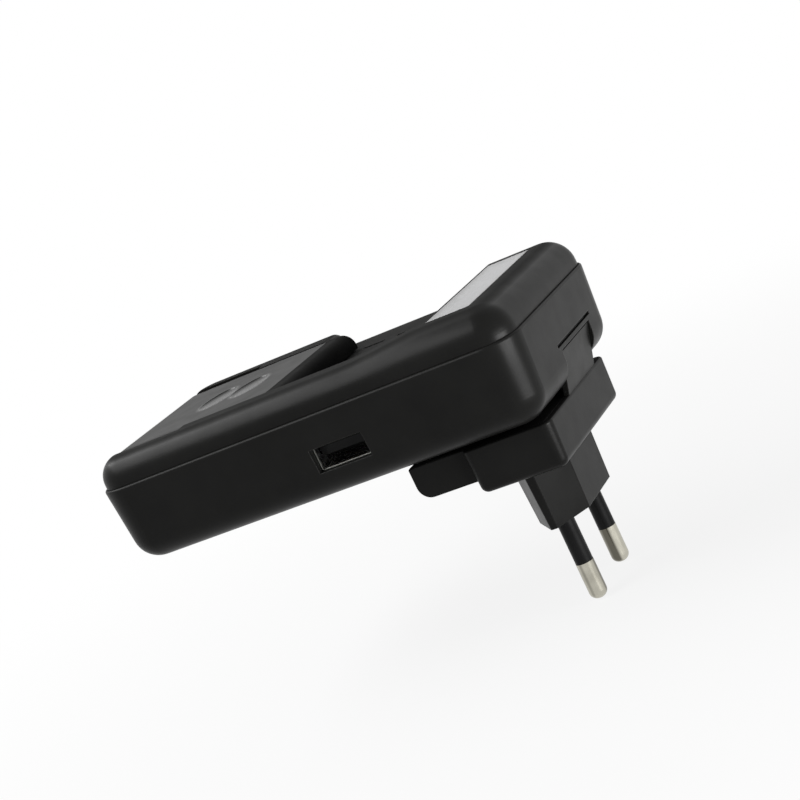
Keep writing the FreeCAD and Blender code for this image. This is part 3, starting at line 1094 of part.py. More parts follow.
def lid_plan(gap):
    """Outline of the adapter's lid, drawn in by a gap: wide over the block, narrow over the heel."""
    front = f"(sizes.adapter_front - sizes.lid_rim - {gap})"
    back = f"({HEEL_BACK} + sizes.lid_rim + {gap})"
    step = f"({ADAPTER_BACK} + sizes.lid_rim + {gap})"
    wide = f"(sizes.adapter_width / 2 - sizes.lid_rim - {gap})"
    slim = f"(sizes.heel_width / 2 - sizes.lid_rim - {gap})"
    return [
        (front, f"-{wide}"), (front, wide), (step, wide), (step, slim),
        (back, slim), (back, f"-{slim}"), (step, f"-{slim}"), (step, f"-{wide}"),
    ]


def adapter_lid():
    """Lid with a raised seat that meets the charger's underside, slotted for the blades."""
    body = new_body("adapter_lid")
    plan = new_sketch(body, "lid_plan", offset=LID_BOTTOM)
    draw_outline(plan, lid_plan("sizes.seat_clearance"))
    pad(body, plan, "sizes.lid_thickness")
    seat = new_sketch(body, "lid_seat", offset=ADAPTER_TOP)
    draw_box(seat, f"{HEEL_BACK} + sizes.lid_rim + sizes.seat_inset", f"{WELL_RIGHT} + sizes.well_wall",
             "-sizes.heel_width / 2 + sizes.lid_rim + sizes.seat_inset",
             "sizes.heel_width / 2 - sizes.lid_rim - sizes.seat_inset")
    pad(body, seat, "sizes.seat_height")
    slots = new_sketch(body, "lid_slots", offset=BODY_BOTTOM)
    for side in ("-", ""):
        draw_box(slots, "-sizes.blade_width / 2 - sizes.clamp_gap", "sizes.blade_width / 2 + sizes.clamp_gap",
                 f"{side}sizes.blade_spacing / 2 - sizes.blade_thickness / 2 - sizes.clamp_gap",
                 f"{side}sizes.blade_spacing / 2 + sizes.blade_thickness / 2 + sizes.clamp_gap")
    pocket(body, slots, f"{BODY_BOTTOM} - {LID_BOTTOM}")
    return body


def plug_pins():
    """Round pins with insulating sleeves, and the clips that grip the flat blades."""
    pieces = []
    for name, side in (("near", "-"), ("far", "")):
        offset = f"{side}sizes.pin_spacing / 2"
        pin = new_body(f"pin_{name}")
        half = new_sketch(pin, f"pin_section_{name}", "XZ_Plane")
        draw_outline(half, [
            ("0", "-sizes.pin_length"), ("sizes.pin_radius", "-sizes.pin_length"),
            ("sizes.pin_radius", "-sizes.sleeve_length"), ("sizes.pin_core_radius", "-sizes.sleeve_length"),
            ("sizes.pin_core_radius", "sizes.nose_floor"), ("sizes.pin_head_radius", "sizes.nose_floor"),
            ("sizes.pin_head_radius", HEAD_TOP), ("0", HEAD_TOP),
        ])
        turn = pin.newObject("PartDesign::Revolution", f"pin_turn_{name}")
        turn.Profile = half
        turn.ReferenceAxis = (half, ["V_Axis"])
        turn.Angle = 360
        doc.recompute()
        round_edges(pin, f"pin_dome_{name}", "sizes.pin_radius * sizes.pin_dome_share", at_level("-sizes.pin_length"))
        sleeve = new_body(f"pin_sleeve_{name}")
        ring = new_sketch(sleeve, f"sleeve_ring_{name}", offset="-sizes.sleeve_length")
        draw_circle(ring, "0", "0", "sizes.sleeve_radius")
        draw_circle(ring, "0", "0", "sizes.pin_core_radius + sizes.sleeve_gap")
        pad(sleeve, ring, "sizes.sleeve_length + sizes.nose_floor")
        for piece in (pin, sleeve):
            place(piece, "0", offset, "0")
        pieces += [pin, sleeve, blade_clip(name, side)]
    return pieces


def blade_clip(name, side):
    """Folded strip: a foot on the pin's head and two leaves, one each side of the blade."""
    body = new_body(f"adapter_clip_{name}")
    outer = "(sizes.blade_spacing / 2 + sizes.blade_thickness / 2)"
    inner = "(sizes.blade_spacing / 2 - sizes.blade_thickness / 2)"
    bottom = f"({BLADE_TIP} - sizes.clip_thickness - sizes.clamp_gap)"
    top = f"({BLADE_TIP} + sizes.clip_rise)"
    fold = [
        (outer, top), (outer, f"{bottom} + sizes.clip_thickness"), (inner, f"{bottom} + sizes.clip_thickness"),
        (inner, top), (f"{inner} - sizes.clip_thickness", top), (f"{inner} - sizes.clip_thickness", bottom),
        (outer, bottom), (outer, HEAD_TOP), (f"{outer} + sizes.clip_foot", HEAD_TOP),
        (f"{outer} + sizes.clip_foot", f"{HEAD_TOP} + sizes.clip_thickness"),
        (f"{outer} + sizes.clip_thickness", f"{HEAD_TOP} + sizes.clip_thickness"),
        (f"{outer} + sizes.clip_thickness", top),
    ]
    section = new_sketch(body, f"clip_fold_{name}", "YZ_Plane", "-sizes.clip_width / 2")
    draw_outline(section, [(f"{side}({y})", z) for y, z in fold])
    pad(body, section, "sizes.clip_width")
    return body


pieces = [bottom_cover(), top_cover(), clamp_plate(), clamp_jaw(), clamp_retainer(), clamp_screw(), clamp_spring()]
pieces += display() + contacts() + circuit_board() + transformer() + board_cans() + usb_socket()
pieces += [case_screws()] + folding_blades() + [adapter_body(), adapter_lid()] + plug_pins()
doc.recompute()

for item in doc.Objects:
    if "Invalid" in item.State or "Error" in item.State:
        raise RuntimeError(f"{item.Name} failed: {item.State}")
for piece in pieces:
    if piece.Shape.isNull() or not piece.Shape.isValid() or not piece.Shape.Solids:
        raise RuntimeError(f"{piece.Label} has no valid solid")

os.makedirs("parts", exist_ok=True)
for piece in pieces:
    piece.Shape.exportStep(f"parts/{piece.Label}.step")
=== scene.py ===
import json
import math

import bmesh
import bpy
from mathutils import Matrix, Vector


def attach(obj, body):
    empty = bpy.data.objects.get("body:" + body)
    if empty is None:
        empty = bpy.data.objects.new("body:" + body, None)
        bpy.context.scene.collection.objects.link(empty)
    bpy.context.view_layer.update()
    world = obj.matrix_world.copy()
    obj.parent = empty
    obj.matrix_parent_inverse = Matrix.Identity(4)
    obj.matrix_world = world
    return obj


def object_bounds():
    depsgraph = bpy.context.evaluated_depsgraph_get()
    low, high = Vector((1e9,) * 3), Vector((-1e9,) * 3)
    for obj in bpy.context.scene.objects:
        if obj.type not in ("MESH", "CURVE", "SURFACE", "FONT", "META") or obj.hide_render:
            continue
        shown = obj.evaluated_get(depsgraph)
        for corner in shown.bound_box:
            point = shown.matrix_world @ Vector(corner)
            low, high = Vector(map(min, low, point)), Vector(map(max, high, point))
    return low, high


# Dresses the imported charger: procedural finishes on the CAD pieces, two forms of its skin that
# the solids lack, and a white studio. Finishes, lamps and camera are in metres; the two forms
# are drawn in millimetres and scaled once.

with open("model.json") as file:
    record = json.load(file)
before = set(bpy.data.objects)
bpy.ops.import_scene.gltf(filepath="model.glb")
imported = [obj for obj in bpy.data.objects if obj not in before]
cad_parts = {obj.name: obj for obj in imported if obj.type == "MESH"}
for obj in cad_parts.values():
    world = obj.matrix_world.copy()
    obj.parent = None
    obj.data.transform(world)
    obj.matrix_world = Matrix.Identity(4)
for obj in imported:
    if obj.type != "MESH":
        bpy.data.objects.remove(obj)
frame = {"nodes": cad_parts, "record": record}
cad_low, cad_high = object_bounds()
nodes = frame["nodes"]
scene = bpy.context.scene
MM = 0.001


# materials

# Noise scales, per metre, and depths, in metres, that the moulded plastics share
TINT_SCALE, SHEEN_SCALE, WAVE_SCALE = 90.0, 160.0, 140.0
GRAIN_DEPTH, WAVE_DEPTH, WAVE_STRENGTH = 0.00006, 0.0002, 0.05
# Radii over which edges are rubbed pale, with a painted highlight, and shaded round
WORN_AND_HIGHLIT_RADIUS, SOFT_RADIUS = 0.0004, 0.0003
# Cosine of the turn at an edge: fully worn, with a painted highlight, at the first, plain at the
# second
WEAR_AND_HIGHLIGHT_FULL, WEAR_AND_HIGHLIGHT_NONE = 0.8, 0.985
# Upward part of the normal: a wall below the first, a level face above the second
WALL_UP, LEVEL_UP = 0.8, 0.97
# A grip spot's polish: share of the roughness left in its heart, and where heart and rim lie
RUBBED_SHARE, SPOT_HEART, SPOT_RIM = 0.4, 0.7, 1.05
# Noise scales of the metals: tarnish, dark streaks that paint reflections, and fine grain
TARNISH_SCALE, REFLECTION_STREAK_SCALE, DRAWN_SCALE = 180.0, 620.0, 900.0
# Shape of the dark streaks, painted reflections along the drawn way
REFLECTION_STREAK_STRETCH, REFLECTION_STREAK_COVER, REFLECTION_STREAK_START, REFLECTION_STREAK_END = 0.4, 0.95, 0.47, 0.56
DRAWN_DEPTH = 0.00004


class Shader:
    """A Principled material built from procedural nodes on Object coordinates."""

    def __init__(self, name, **sockets):
        self.material = bpy.data.materials.new(name)
        self.material.use_nodes = True
        self.tree = self.material.node_tree
        self.surface = self.tree.nodes["Principled BSDF"]
        self.place = self.tree.nodes.new("ShaderNodeTexCoord").outputs["Object"]
        for socket, value in sockets.items():
            if isinstance(value, tuple):
                value = (*value, 1.0)
            self.surface.inputs[socket.replace("_", " ")].default_value = value

    def node(self, kind, **settings):
        made = self.tree.nodes.new(kind)
        for key, value in settings.items():
            setattr(made, key, value)
        return made

    def link(self, source, target):
        self.tree.links.new(source, target)

    def drive(self, socket, source):
        self.link(source, self.surface.inputs[socket])

    def noise(self, scale, detail=3.0, roughness=0.55, stretch=None):
        made = self.node("ShaderNodeTexNoise")
        made.inputs["Scale"].default_value = scale
        made.inputs["Detail"].default_value = detail
        made.inputs["Roughness"].default_value = roughness
        place = self.place
        if stretch:
            mapping = self.node("ShaderNodeMapping")
            mapping.inputs["Scale"].default_value = stretch
            self.link(place, mapping.inputs["Vector"])
            place = mapping.outputs["Vector"]
        self.link(place, made.inputs["Vector"])
        return made.outputs["Fac"]

    def ramp(self, value, low, high, start=0.35, end=0.65):
        """A number or colour between low and high as value goes from start to end."""
        made = self.node("ShaderNodeMapRange")
        made.inputs["From Min"].default_value = start
        made.inputs["From Max"].default_value = end
        self.link(value, made.inputs["Value"])
        if isinstance(low, tuple):
            return self.mix(made.outputs["Result"], low, high)
        made.inputs["To Min"].default_value = low
        made.inputs["To Max"].default_value = high
        return made.outputs["Result"]

    def mix(self, factor, low, high):
        """A colour between low and high, each a fixed colour or a socket."""
        made = self.node("ShaderNodeMix", data_type="RGBA")
        self.link(factor, made.inputs["Factor"])
        for socket, value in (("A", low), ("B", high)):
            if isinstance(value, tuple):
                made.inputs[socket].default_value = (*value, 1.0)
            else:
                self.link(value, made.inputs[socket])
        return made.outputs["Result"]

    def maths(self, operation, *values):
        """The outcome of one operation on numbers or sockets."""
        made = self.node("ShaderNodeMath", operation=operation)
        for socket, value in zip(made.inputs, values):
            if isinstance(value, float):
                socket.default_value = value
            else:
                self.link(value, socket)
        return made.outputs["Value"]

    def along(self, axis, source):
        """One part, X, Y or Z, of a vector."""
        split = self.node("ShaderNodeSeparateXYZ")
        self.link(source, split.inputs[0])
        return split.outputs[axis]

    def true_normal(self):
        return self.node("ShaderNodeNewGeometry").outputs["Normal"]

    def soft_edges(self, radius):
        """Shading normal that rounds every sharp edge by a small radius."""
        made = self.node("ShaderNodeBevel", samples=6)
        made.inputs["Radius"].default_value = radius
        return made.outputs["Normal"]

    def edge_wear_and_highlight(self, radius):
        """1 along the edges, worn pale and painted with a highlight, and 0 on the flats between
        them.
        """
        turn = self.node("ShaderNodeVectorMath", operation="DOT_PRODUCT")
        self.link(self.soft_edges(radius), turn.inputs[0])
        self.link(self.true_normal(), turn.inputs[1])
        return self.ramp(turn.outputs["Value"], 1.0, 0.0, WEAR_AND_HIGHLIGHT_FULL, WEAR_AND_HIGHLIGHT_NONE)

    def level_faces(self):
        """1 on faces that lie level and look up, 0 on walls and roundings."""
        return self.ramp(self.along("Z", self.true_normal()), 0.0, 1.0, WALL_UP, LEVEL_UP)

    def spot(self, middle, half):
        """Small in the heart of an oval spot and 1 outside it."""
        mapping = self.node("ShaderNodeMapping")
        mapping.inputs["Location"].default_value = tuple(-m / h for m, h in zip(middle, half))
        mapping.inputs["Scale"].default_value = tuple(1.0 / h for h in half)
        away = self.node("ShaderNodeVectorMath", operation="LENGTH")
        self.link(self.place, mapping.inputs["Vector"])
        self.link(mapping.outputs["Vector"], away.inputs[0])
        return self.ramp(away.outputs["Value"], RUBBED_SHARE, 1.0, SPOT_HEART, SPOT_RIM)

    def bump(self, *layers, before=None):
        """Layers of (height, strength, depth), chained into the surface normal."""
        for height, strength, depth in layers:
            made = self.node("ShaderNodeBump")
            made.inputs["Strength"].default_value = strength
            made.inputs["Distance"].default_value = depth
            self.link(height, made.inputs["Height"])
            if before:
                self.link(before, made.inputs["Normal"])
            before = made.outputs["Normal"]
        self.drive("Normal", before)


def moulded(name, dark, light, rough, gloss, grain, strength, worn_and_highlit=None, matte_top=None, polish=()):
    """Moulded plastic with a fine spark-eroded grain and a faint mottle of handling.

    The edge colour is that of rubbed edges and also paints a highlight along them, matte_top the
    roughness that level faces gain, and polish lists grip spots (middle, half size) that fingers
    have rubbed smooth."""
    made = Shader(name, Specular_IOR_Level=gloss)
    colour = made.ramp(made.noise(TINT_SCALE, 4.0), dark, light)
    # Pale rubbed edges, partly real wear and partly a painted highlight along every edge
    if worn_and_highlit:
        colour = made.mix(made.edge_wear_and_highlight(WORN_AND_HIGHLIT_RADIUS), colour, worn_and_highlit)
    made.drive("Base Color", colour)
    sheen = made.ramp(made.noise(SHEEN_SCALE), *rough)
    if matte_top:
        sheen = made.maths("MULTIPLY_ADD", made.level_faces(), matte_top, sheen)
    if polish:
        rubbed = 1.0
        for middle, half in polish:
            rubbed = made.maths("MULTIPLY", made.spot(middle, half), rubbed)
        sheen = made.maths("MULTIPLY", sheen, rubbed)
        made.drive("Specular IOR Level", made.maths("DIVIDE", gloss, rubbed))
    made.drive("Roughness", sheen)
    made.bump((made.noise(grain, 2.0), strength, GRAIN_DEPTH),
              (made.noise(WAVE_SCALE, 2.0), WAVE_STRENGTH, WAVE_DEPTH),
              before=made.soft_edges(SOFT_RADIUS) if worn_and_highlit else None)
    return made.material


def metal(name, dark, light, rough, stretch, strength=0.1, reflection_streak=None):
    """Plated metal with a fine drawn grain along one way and a slight tarnish.

    stretch draws the grain out where it is small, and the streak colour paints dark reflections as
    streaks."""
    made = Shader(name, Metallic=1.0)
    colour = made.ramp(made.noise(TARNISH_SCALE, 4.0), dark, light)
    # Dark streaks along the drawn way: painted reflections of the surroundings
    if reflection_streak:
        longer = tuple(REFLECTION_STREAK_STRETCH * way * way for way in stretch)
        reflection_bands = made.noise(REFLECTION_STREAK_SCALE, 2.0, 0.5, longer)
        cover = made.ramp(reflection_bands, 0.0, REFLECTION_STREAK_COVER, REFLECTION_STREAK_START, REFLECTION_STREAK_END)
        colour = made.mix(cover, colour, reflection_streak)
    made.drive("Base Color", colour)
    grain = made.noise(DRAWN_SCALE, 4.0, 0.6, stretch)
    made.drive("Roughness", made.ramp(grain, *rough))
    made.bump((grain, strength, DRAWN_DEPTH))
    return made.material


def display_panel(name):
    """Grey panel, a little lighter and bluer towards the far side: a painted reflection."""
    made = Shader(name, Specular_IOR_Level=0.2)
    # Darker near, lighter and bluer far: a painted reflection on the panel
    painted_reflection = made.ramp(made.along("Y", made.place), (0.13, 0.13, 0.135), (0.22, 0.218, 0.25),
                     -0.018, 0.016)
    mottle = made.ramp(made.noise(500.0), 0.0, 0.3)
    made.drive("Base Color", made.mix(mottle, painted_reflection, (0.2, 0.2, 0.21)))
    made.drive("Roughness", made.ramp(made.noise(300.0), 0.3, 0.38))
    made.bump((made.noise(3000.0, 2.0), 0.02, GRAIN_DEPTH))
    return made.material


def display_window(name):
    """Smoked clear plastic."""
    made = Shader(name, Base_Color=(0.48, 0.48, 0.5), Transmission_Weight=1.0, IOR=1.4)
    made.drive("Roughness", made.ramp(made.noise(300.0, 4.0), 0.02, 0.06))
    made.bump((made.noise(400.0, 2.0), 0.02, 0.00005))
    return made.material


SHELL = dict(dark=(0.0058, 0.0058, 0.0055), light=(0.0076, 0.0076, 0.0072), rough=(0.31, 0.37),
             grain=2600.0)
# Pale colour of rubbed edges, which is also a painted edge highlight
RUBBED_AND_HIGHLIT_EDGE = (0.022, 0.022, 0.021)
THUMB_HALF = (0.0046, 0.0078, 0.01)
THUMB_SPOTS = [((x, 0.0, 0.048), THUMB_HALF) for x in (-0.0591, -0.0677)]
PLASTICS = {
    "black_housing": dict(SHELL, gloss=0.08, strength=0.16, worn_and_highlit=RUBBED_AND_HIGHLIT_EDGE, matte_top=0.5),
    "black_clamp": dict(SHELL, gloss=0.2, strength=0.12, worn_and_highlit=RUBBED_AND_HIGHLIT_EDGE, matte_top=0.22,
                        polish=THUMB_SPOTS),
    "black_swell": dict(SHELL, gloss=0.08, strength=0.16, matte_top=0.5),
    "black_insulator": dict(dark=(0.004, 0.004, 0.0041), light=(0.0056, 0.0056, 0.0058),
                            rough=(0.3, 0.4), gloss=0.1, grain=3200.0, strength=0.06),
    "jaw_rubber": dict(dark=(0.007, 0.007, 0.0068), light=(0.01, 0.01, 0.0097),
                       rough=(0.8, 0.9), gloss=0.03, grain=1800.0, strength=0.2),
    "rubber_strip": dict(dark=(0.22, 0.21, 0.2), light=(0.3, 0.29, 0.28),
                         rough=(0.6, 0.7), gloss=0.3, grain=1800.0, strength=0.1),
    "board_green": dict(dark=(0.02, 0.12, 0.045), light=(0.03, 0.15, 0.06),
                        rough=(0.25, 0.35), gloss=0.5, grain=900.0, strength=0.08),
    "ferrite": dict(dark=(0.03, 0.03, 0.033), light=(0.05, 0.05, 0.054),
                    rough=(0.55, 0.7), gloss=0.4, grain=1500.0, strength=0.2),
    "coil_tape": dict(dark=(0.6, 0.44, 0.06), light=(0.68, 0.5, 0.08),
                      rough=(0.3, 0.4), gloss=0.5, grain=700.0, strength=0.1),
    "can_sleeve": dict(dark=(0.02, 0.025, 0.06), light=(0.03, 0.035, 0.08),
                       rough=(0.2, 0.3), gloss=0.5, grain=1200.0, strength=0.05),
}
DRAWN_X, DRAWN_Z = (0.15, 1.0, 1.0), (1.0, 1.0, 0.12)
METALS = {
    "bright_steel": dict(dark=(0.5, 0.5, 0.5), light=(0.6, 0.6, 0.6), rough=(0.22, 0.36),
                         stretch=DRAWN_X),
    # A darker copy of the bright steel for the socket's lip: painted shade
    "shaded_lip_steel": dict(dark=(0.15, 0.15, 0.14), light=(0.22, 0.22, 0.205), rough=(0.34, 0.48),
                      stretch=DRAWN_X),
    "contact_brass": dict(dark=(0.66, 0.48, 0.2), light=(0.76, 0.57, 0.26), rough=(0.2, 0.34),
                          stretch=DRAWN_X),
    # Pins: the streak colour paints dark reflections in bands
    "pin_nickel": dict(dark=(0.4, 0.385, 0.325), light=(0.54, 0.52, 0.445), rough=(0.16, 0.26),
                       stretch=DRAWN_Z, reflection_streak=(0.11, 0.103, 0.083)),
}
FINISH = {name: moulded(name, **look) for name, look in PLASTICS.items()}
FINISH.update({name: metal(name, **look) for name, look in METALS.items()})
FINISH["display_grey"] = display_panel("display_grey")
FINISH["display_clear"] = display_window("display_clear")

for part in frame["record"]["subparts"]:
    mesh = nodes[part["node"]].data
    mesh.materials.clear()
    mesh.materials.append(FINISH[part["material_slot"]])
nodes["clamp_plate"].data.materials[0] = FINISH["black_clamp"]


# forms of the skin

def finished(name, made, finish):
    """The millimetre bmesh as an object of the scene, in one finish."""
    bmesh.ops.recalc_face_normals(made, faces=made.faces)
    bmesh.ops.scale(made, vec=(MM, MM, MM), verts=made.verts)
    mesh = bpy.data.meshes.new(name)
    made.to_mesh(mesh)
    made.free()
    mesh.materials.append(FINISH[finish])
    piece = bpy.data.objects.new(name, mesh)
    scene.collection.objects.link(piece)
    return piece


def rounded_sheet(made, points, corners, radius, segments):
    """One face through the points, with the chosen corners rounded."""
    verts = [made.verts.new(point) for point in points]
    made.faces.new(verts)
    bmesh.ops.bevel(made, geom=[verts[index] for index in corners], offset=radius,
                    offset_type="OFFSET", segments=segments, profile=0.5, affect="VERTICES",
                    material=-1)
    made.faces.ensure_lookup_table()
    return made.faces[0]


def cut(made, point, normal, drop=False):
    bmesh.ops.bisect_plane(made, geom=made.verts[:] + made.edges[:] + made.faces[:], dist=1e-4,
                           plane_co=point, plane_no=normal, clear_outer=drop)


# Hood: the top cover swells smoothly from the near rim up to the display and round the end.
# Heights of the plain rim, of the swell and of the foot of their roundings
RIM_TOP, HOOD_TOP, ROUND_FOOT = 48.9, 50.195, 43.9
# Plan of the case at that foot
SIDE, END, PLAN_CORNER, PLAN_STEPS = 29.0, 13.8, 6.7, 12
# How far each rounding reaches inwards, and the rings that draw the swell's
SWELL, RIM_ROUND, SWELL_RINGS = 6.1, 5.0, 16
# Openings: the bay's near edge, the hood's face to the bay, and the frame of the display
BAY_EDGE, HOOD_FACE, FRAME_SIDE, FRAME_END = -19.8, -4.9, 21.5, 7.7
# Where the near rim starts to rise and reaches the hood
RISE_START, RISE_END, RISE_STEPS = -24.0, -3.0, 14
# The sheet starts far left of the rise, so that the rounding of its left edge is cut away
SHEET_START = 3 * RISE_START
# Lift that keeps the skin off the solid
SKIN_LIFT = 0.02
HOOD_WALL = 0.0012
HOOD_CREASE = math.radians(40.0)


def rim_height(y):
    """Height of the plain rim's rounded top at a distance from the middle."""
    inward = SIDE - abs(y)
    if inward >= RIM_ROUND:
        return RIM_TOP
    return ROUND_FOOT + math.sqrt(max(RIM_ROUND ** 2 - (RIM_ROUND - inward) ** 2, 0.0))


def over_opening(face):
    """True for a face above the battery bay or the display's frame."""
    middle = face.calc_center_median()
    if middle.x < HOOD_FACE:
        return middle.y > BAY_EDGE
    return HOOD_FACE < middle.x < FRAME_END and abs(middle.y) < FRAME_SIDE


def hood_swell():
    made = bmesh.new()
    outline = [(SHEET_START, -SIDE, ROUND_FOOT), (END, -SIDE, ROUND_FOOT),
               (END, SIDE, ROUND_FOOT), (SHEET_START, SIDE, ROUND_FOOT)]
    roof = rounded_sheet(made, outline, (1, 2), PLAN_CORNER, PLAN_STEPS)
    before = (0.0, 0.0)
    for ring in range(1, SWELL_RINGS + 1):
        angle = math.radians(90.0 * ring / SWELL_RINGS)
        now = (SWELL * (1.0 - math.cos(angle)), (HOOD_TOP - ROUND_FOOT) * math.sin(angle))
        bmesh.ops.inset_region(made, faces=[roof], thickness=now[0] - before[0],
                               depth=now[1] - before[1], use_even_offset=True, use_boundary=True)
        before = now
    cut(made, (RISE_START, 0.0, 0.0), (-1.0, 0.0, 0.0), True)
    rise = [RISE_START + (RISE_END - RISE_START) * step / RISE_STEPS
            for step in range(1, RISE_STEPS)]
    for place in (*rise, HOOD_FACE, FRAME_END):
        cut(made, (place, 0.0, 0.0), (1.0, 0.0, 0.0))
    for place in (BAY_EDGE, -FRAME_SIDE, FRAME_SIDE):
        cut(made, (0.0, place, 0.0), (0.0, 1.0, 0.0))
    bmesh.ops.delete(made, geom=[face for face in made.faces if over_opening(face)],
                     context="FACES")
    for corner in made.verts:
        if corner.co.x < RISE_END and corner.co.y < 0.0:
            share = (corner.co.x - RISE_START) / (RISE_END - RISE_START)
            share = share * share * (3.0 - 2.0 * share)
            plain = rim_height(corner.co.y) + SKIN_LIFT
            corner.co.z = plain + max(corner.co.z - plain, 0.0) * share
    for face in made.faces:
        face.smooth = True
    piece = finished("hood_swell", made, "black_swell")
    wall = piece.modifiers.new("wall", "SOLIDIFY")
    wall.thickness = HOOD_WALL
    wall.offset = -1.0
    crease = piece.modifiers.new("edges", "EDGE_SPLIT")
    crease.split_angle = HOOD_CREASE
    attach(piece, "housing")


# Socket mouth: the lip of the sheet-metal shell, just behind the wall, in a darker copy of the
# steel that paints the shade of the opening
LIP_LEFT, LIP_RIGHT, LIP_LOW, LIP_HIGH = -36.43, -23.77, 30.56, 35.84
LIP_FRONT, LIP_DEPTH, LIP_SHEET = -27.4, 0.65, 0.3
LIP_CORNER, LIP_STEPS = 0.4, 4
LIP_ROLL = 0.00008


def socket_lip():
    made = bmesh.new()
    outline = [(LIP_LEFT, LIP_FRONT, LIP_LOW), (LIP_RIGHT, LIP_FRONT, LIP_LOW),
               (LIP_RIGHT, LIP_FRONT, LIP_HIGH), (LIP_LEFT, LIP_FRONT, LIP_HIGH)]
    mouth = rounded_sheet(made, outline, range(4), LIP_CORNER, LIP_STEPS)
    ring = bmesh.ops.inset_region(made, faces=[mouth], thickness=LIP_SHEET, use_even_offset=True,
                                  use_boundary=True)["faces"]
    bmesh.ops.delete(made, geom=[mouth], context="FACES")
    back = bmesh.ops.extrude_face_region(made, geom=ring)["geom"]
    bmesh.ops.translate(made, vec=(0.0, LIP_DEPTH, 0.0),
                        verts=[item for item in back if isinstance(item, bmesh.types.BMVert)])
    piece = finished("socket_lip", made, "shaded_lip_steel")
    rolled = piece.modifiers.new("rolled", "BEVEL")
    rolled.width = LIP_ROLL
    rolled.segments = 2
    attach(piece, "housing")


hood_swell()
socket_lip()


# stage

WHITE = (1.0, 1.0, 1.0, 1.0)
FLOOR_RADIUS, FLOOR_GAP, FLOOR_SIDES = 8.0, 0.0004, 64
FLOOR_GREY = (0.6, 0.6, 0.6, 1.0)
# The shadow shows fully within the first distance and has gone at the second
SHADOW_NEAR, SHADOW_FAR = 0.08, 0.32
# Share of plain white that is mixed in where the shadow is strongest
SHADOW_WHITE = 0.86
SKY_LIGHT = 0.2


def any_ray(tree, *kinds):
    """1 for a ray of one of these kinds, else 0."""
    paths = tree.nodes.new("ShaderNodeLightPath")
    total = paths.outputs[kinds[0]]
    for kind in kinds[1:]:
        either = tree.nodes.new("ShaderNodeMath")
        either.operation = "ADD"
        either.use_clamp = True
        tree.links.new(total, either.inputs[0])
        tree.links.new(paths.outputs[kind], either.inputs[1])
        total = either.outputs["Value"]
    return total


def pale_floor():
    """Matte grey that fades to plain white for the eye away from the part."""
    pale = bpy.data.materials.new("pale_floor")
    pale.use_nodes = True
    tree = pale.node_tree
    tree.nodes.clear()
    out = tree.nodes.new("ShaderNodeOutputMaterial")
    matte = tree.nodes.new("ShaderNodeBsdfDiffuse")
    matte.inputs["Color"].default_value = FLOOR_GREY
    white = tree.nodes.new("ShaderNodeEmission")
    white.inputs["Color"].default_value = WHITE
    place = tree.nodes.new("ShaderNodeTexCoord")
    away = tree.nodes.new("ShaderNodeVectorMath")
    away.operation = "LENGTH"
    fade = tree.nodes.new("ShaderNodeMapRange")
    fade.interpolation_type = "SMOOTHSTEP"
    fade.inputs["From Min"].default_value = SHADOW_NEAR
    fade.inputs["From Max"].default_value = SHADOW_FAR
    fade.inputs["To Min"].default_value = SHADOW_WHITE
    factor = tree.nodes.new("ShaderNodeMath")
    factor.operation = "MULTIPLY"
    blend = tree.nodes.new("ShaderNodeMixShader")
    tree.links.new(place.outputs["Object"], away.inputs[0])
    tree.links.new(away.outputs["Value"], fade.inputs["Value"])
    tree.links.new(any_ray(tree, "Is Camera Ray", "Is Glossy Ray"), factor.inputs[0])
    tree.links.new(fade.outputs["Result"], factor.inputs[1])
    tree.links.new(factor.outputs["Value"], blend.inputs["Fac"])
    tree.links.new(matte.outputs["BSDF"], blend.inputs[1])
    tree.links.new(white.outputs["Emission"], blend.inputs[2])
    tree.links.new(blend.outputs["Shader"], out.inputs["Surface"])
    return pale


def floor_disc():
    made = bmesh.new()
    bmesh.ops.create_circle(made, cap_ends=True, radius=FLOOR_RADIUS, segments=FLOOR_SIDES)
    bmesh.ops.translate(made, vec=(0.0, 0.0, cad_low.z - FLOOR_GAP), verts=made.verts)
    mesh = bpy.data.meshes.new("floor")
    made.to_mesh(mesh)
    made.free()
    mesh.materials.append(pale_floor())
    floor = bpy.data.objects.new("floor", mesh)
    scene.collection.objects.link(floor)


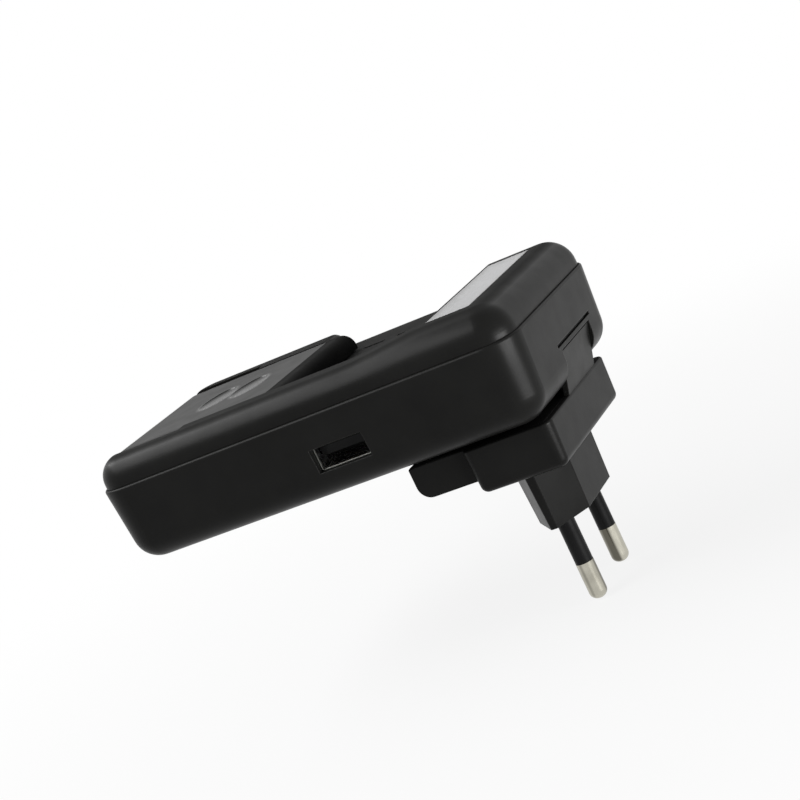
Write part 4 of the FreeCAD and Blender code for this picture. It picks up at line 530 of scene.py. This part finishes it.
def white_world():
    """Soft light for the part, plain white for the eye, for reflections and through the window."""
    world = bpy.data.worlds.new("studio")
    scene.world = world
    world.use_nodes = True
    sky = world.node_tree
    light = sky.nodes["Background"]
    shown = sky.nodes.new("ShaderNodeBackground")
    for ground, strength in ((light, SKY_LIGHT), (shown, 1.0)):
        ground.inputs["Color"].default_value = WHITE
        ground.inputs["Strength"].default_value = strength
    pick = sky.nodes.new("ShaderNodeMixShader")
    eye = any_ray(sky, "Is Camera Ray", "Is Glossy Ray", "Is Transmission Ray")
    sky.links.new(eye, pick.inputs["Fac"])
    sky.links.new(light.outputs["Background"], pick.inputs[1])
    sky.links.new(shown.outputs["Background"], pick.inputs[2])
    sky.links.new(pick.outputs["Shader"], sky.nodes["World Output"].inputs["Surface"])


def softbox(name, place, target, size, power):
    data = bpy.data.lights.new(name, "AREA")
    data.shape = "RECTANGLE"
    data.size, data.size_y = size
    data.energy = power
    lamp = bpy.data.objects.new(name, data)
    lamp.location = place
    aim = Vector(target) - Vector(place)
    lamp.rotation_mode = "QUATERNION"
    lamp.rotation_quaternion = aim.to_track_quat("-Z", "Y")
    lamp.visible_camera = False
    scene.collection.objects.link(lamp)


MIDDLE = (-0.035, 0.0, 0.03)
NEAR_CORNER = (0.012, -0.028, 0.035)

floor_disc()
white_world()
softbox("overhead", (-0.33, -0.1, 0.42), MIDDLE, (0.8, 0.24), 4.2)
softbox("right_strip", (0.2, -0.09, 0.0), NEAR_CORNER, (0.15, 0.03), 0.6)

camera = bpy.data.objects.new("camera", bpy.data.cameras.new("camera"))
camera.data.sensor_width = 36.0
camera.data.lens = 90.0
camera.data.clip_start, camera.data.clip_end = 0.01, 50.0
camera.matrix_world = Matrix((
    (0.8388, 0.3195, 0.4407, 0.16196),
    (0.3372, 0.3305, -0.8815, -0.37824),
    (-0.4274, 0.8881, 0.1695, 0.10616),
    (0.0, 0.0, 0.0, 1.0),
))
scene.collection.objects.link(camera)
scene.camera = camera
scene.view_settings.view_transform = "Standard"
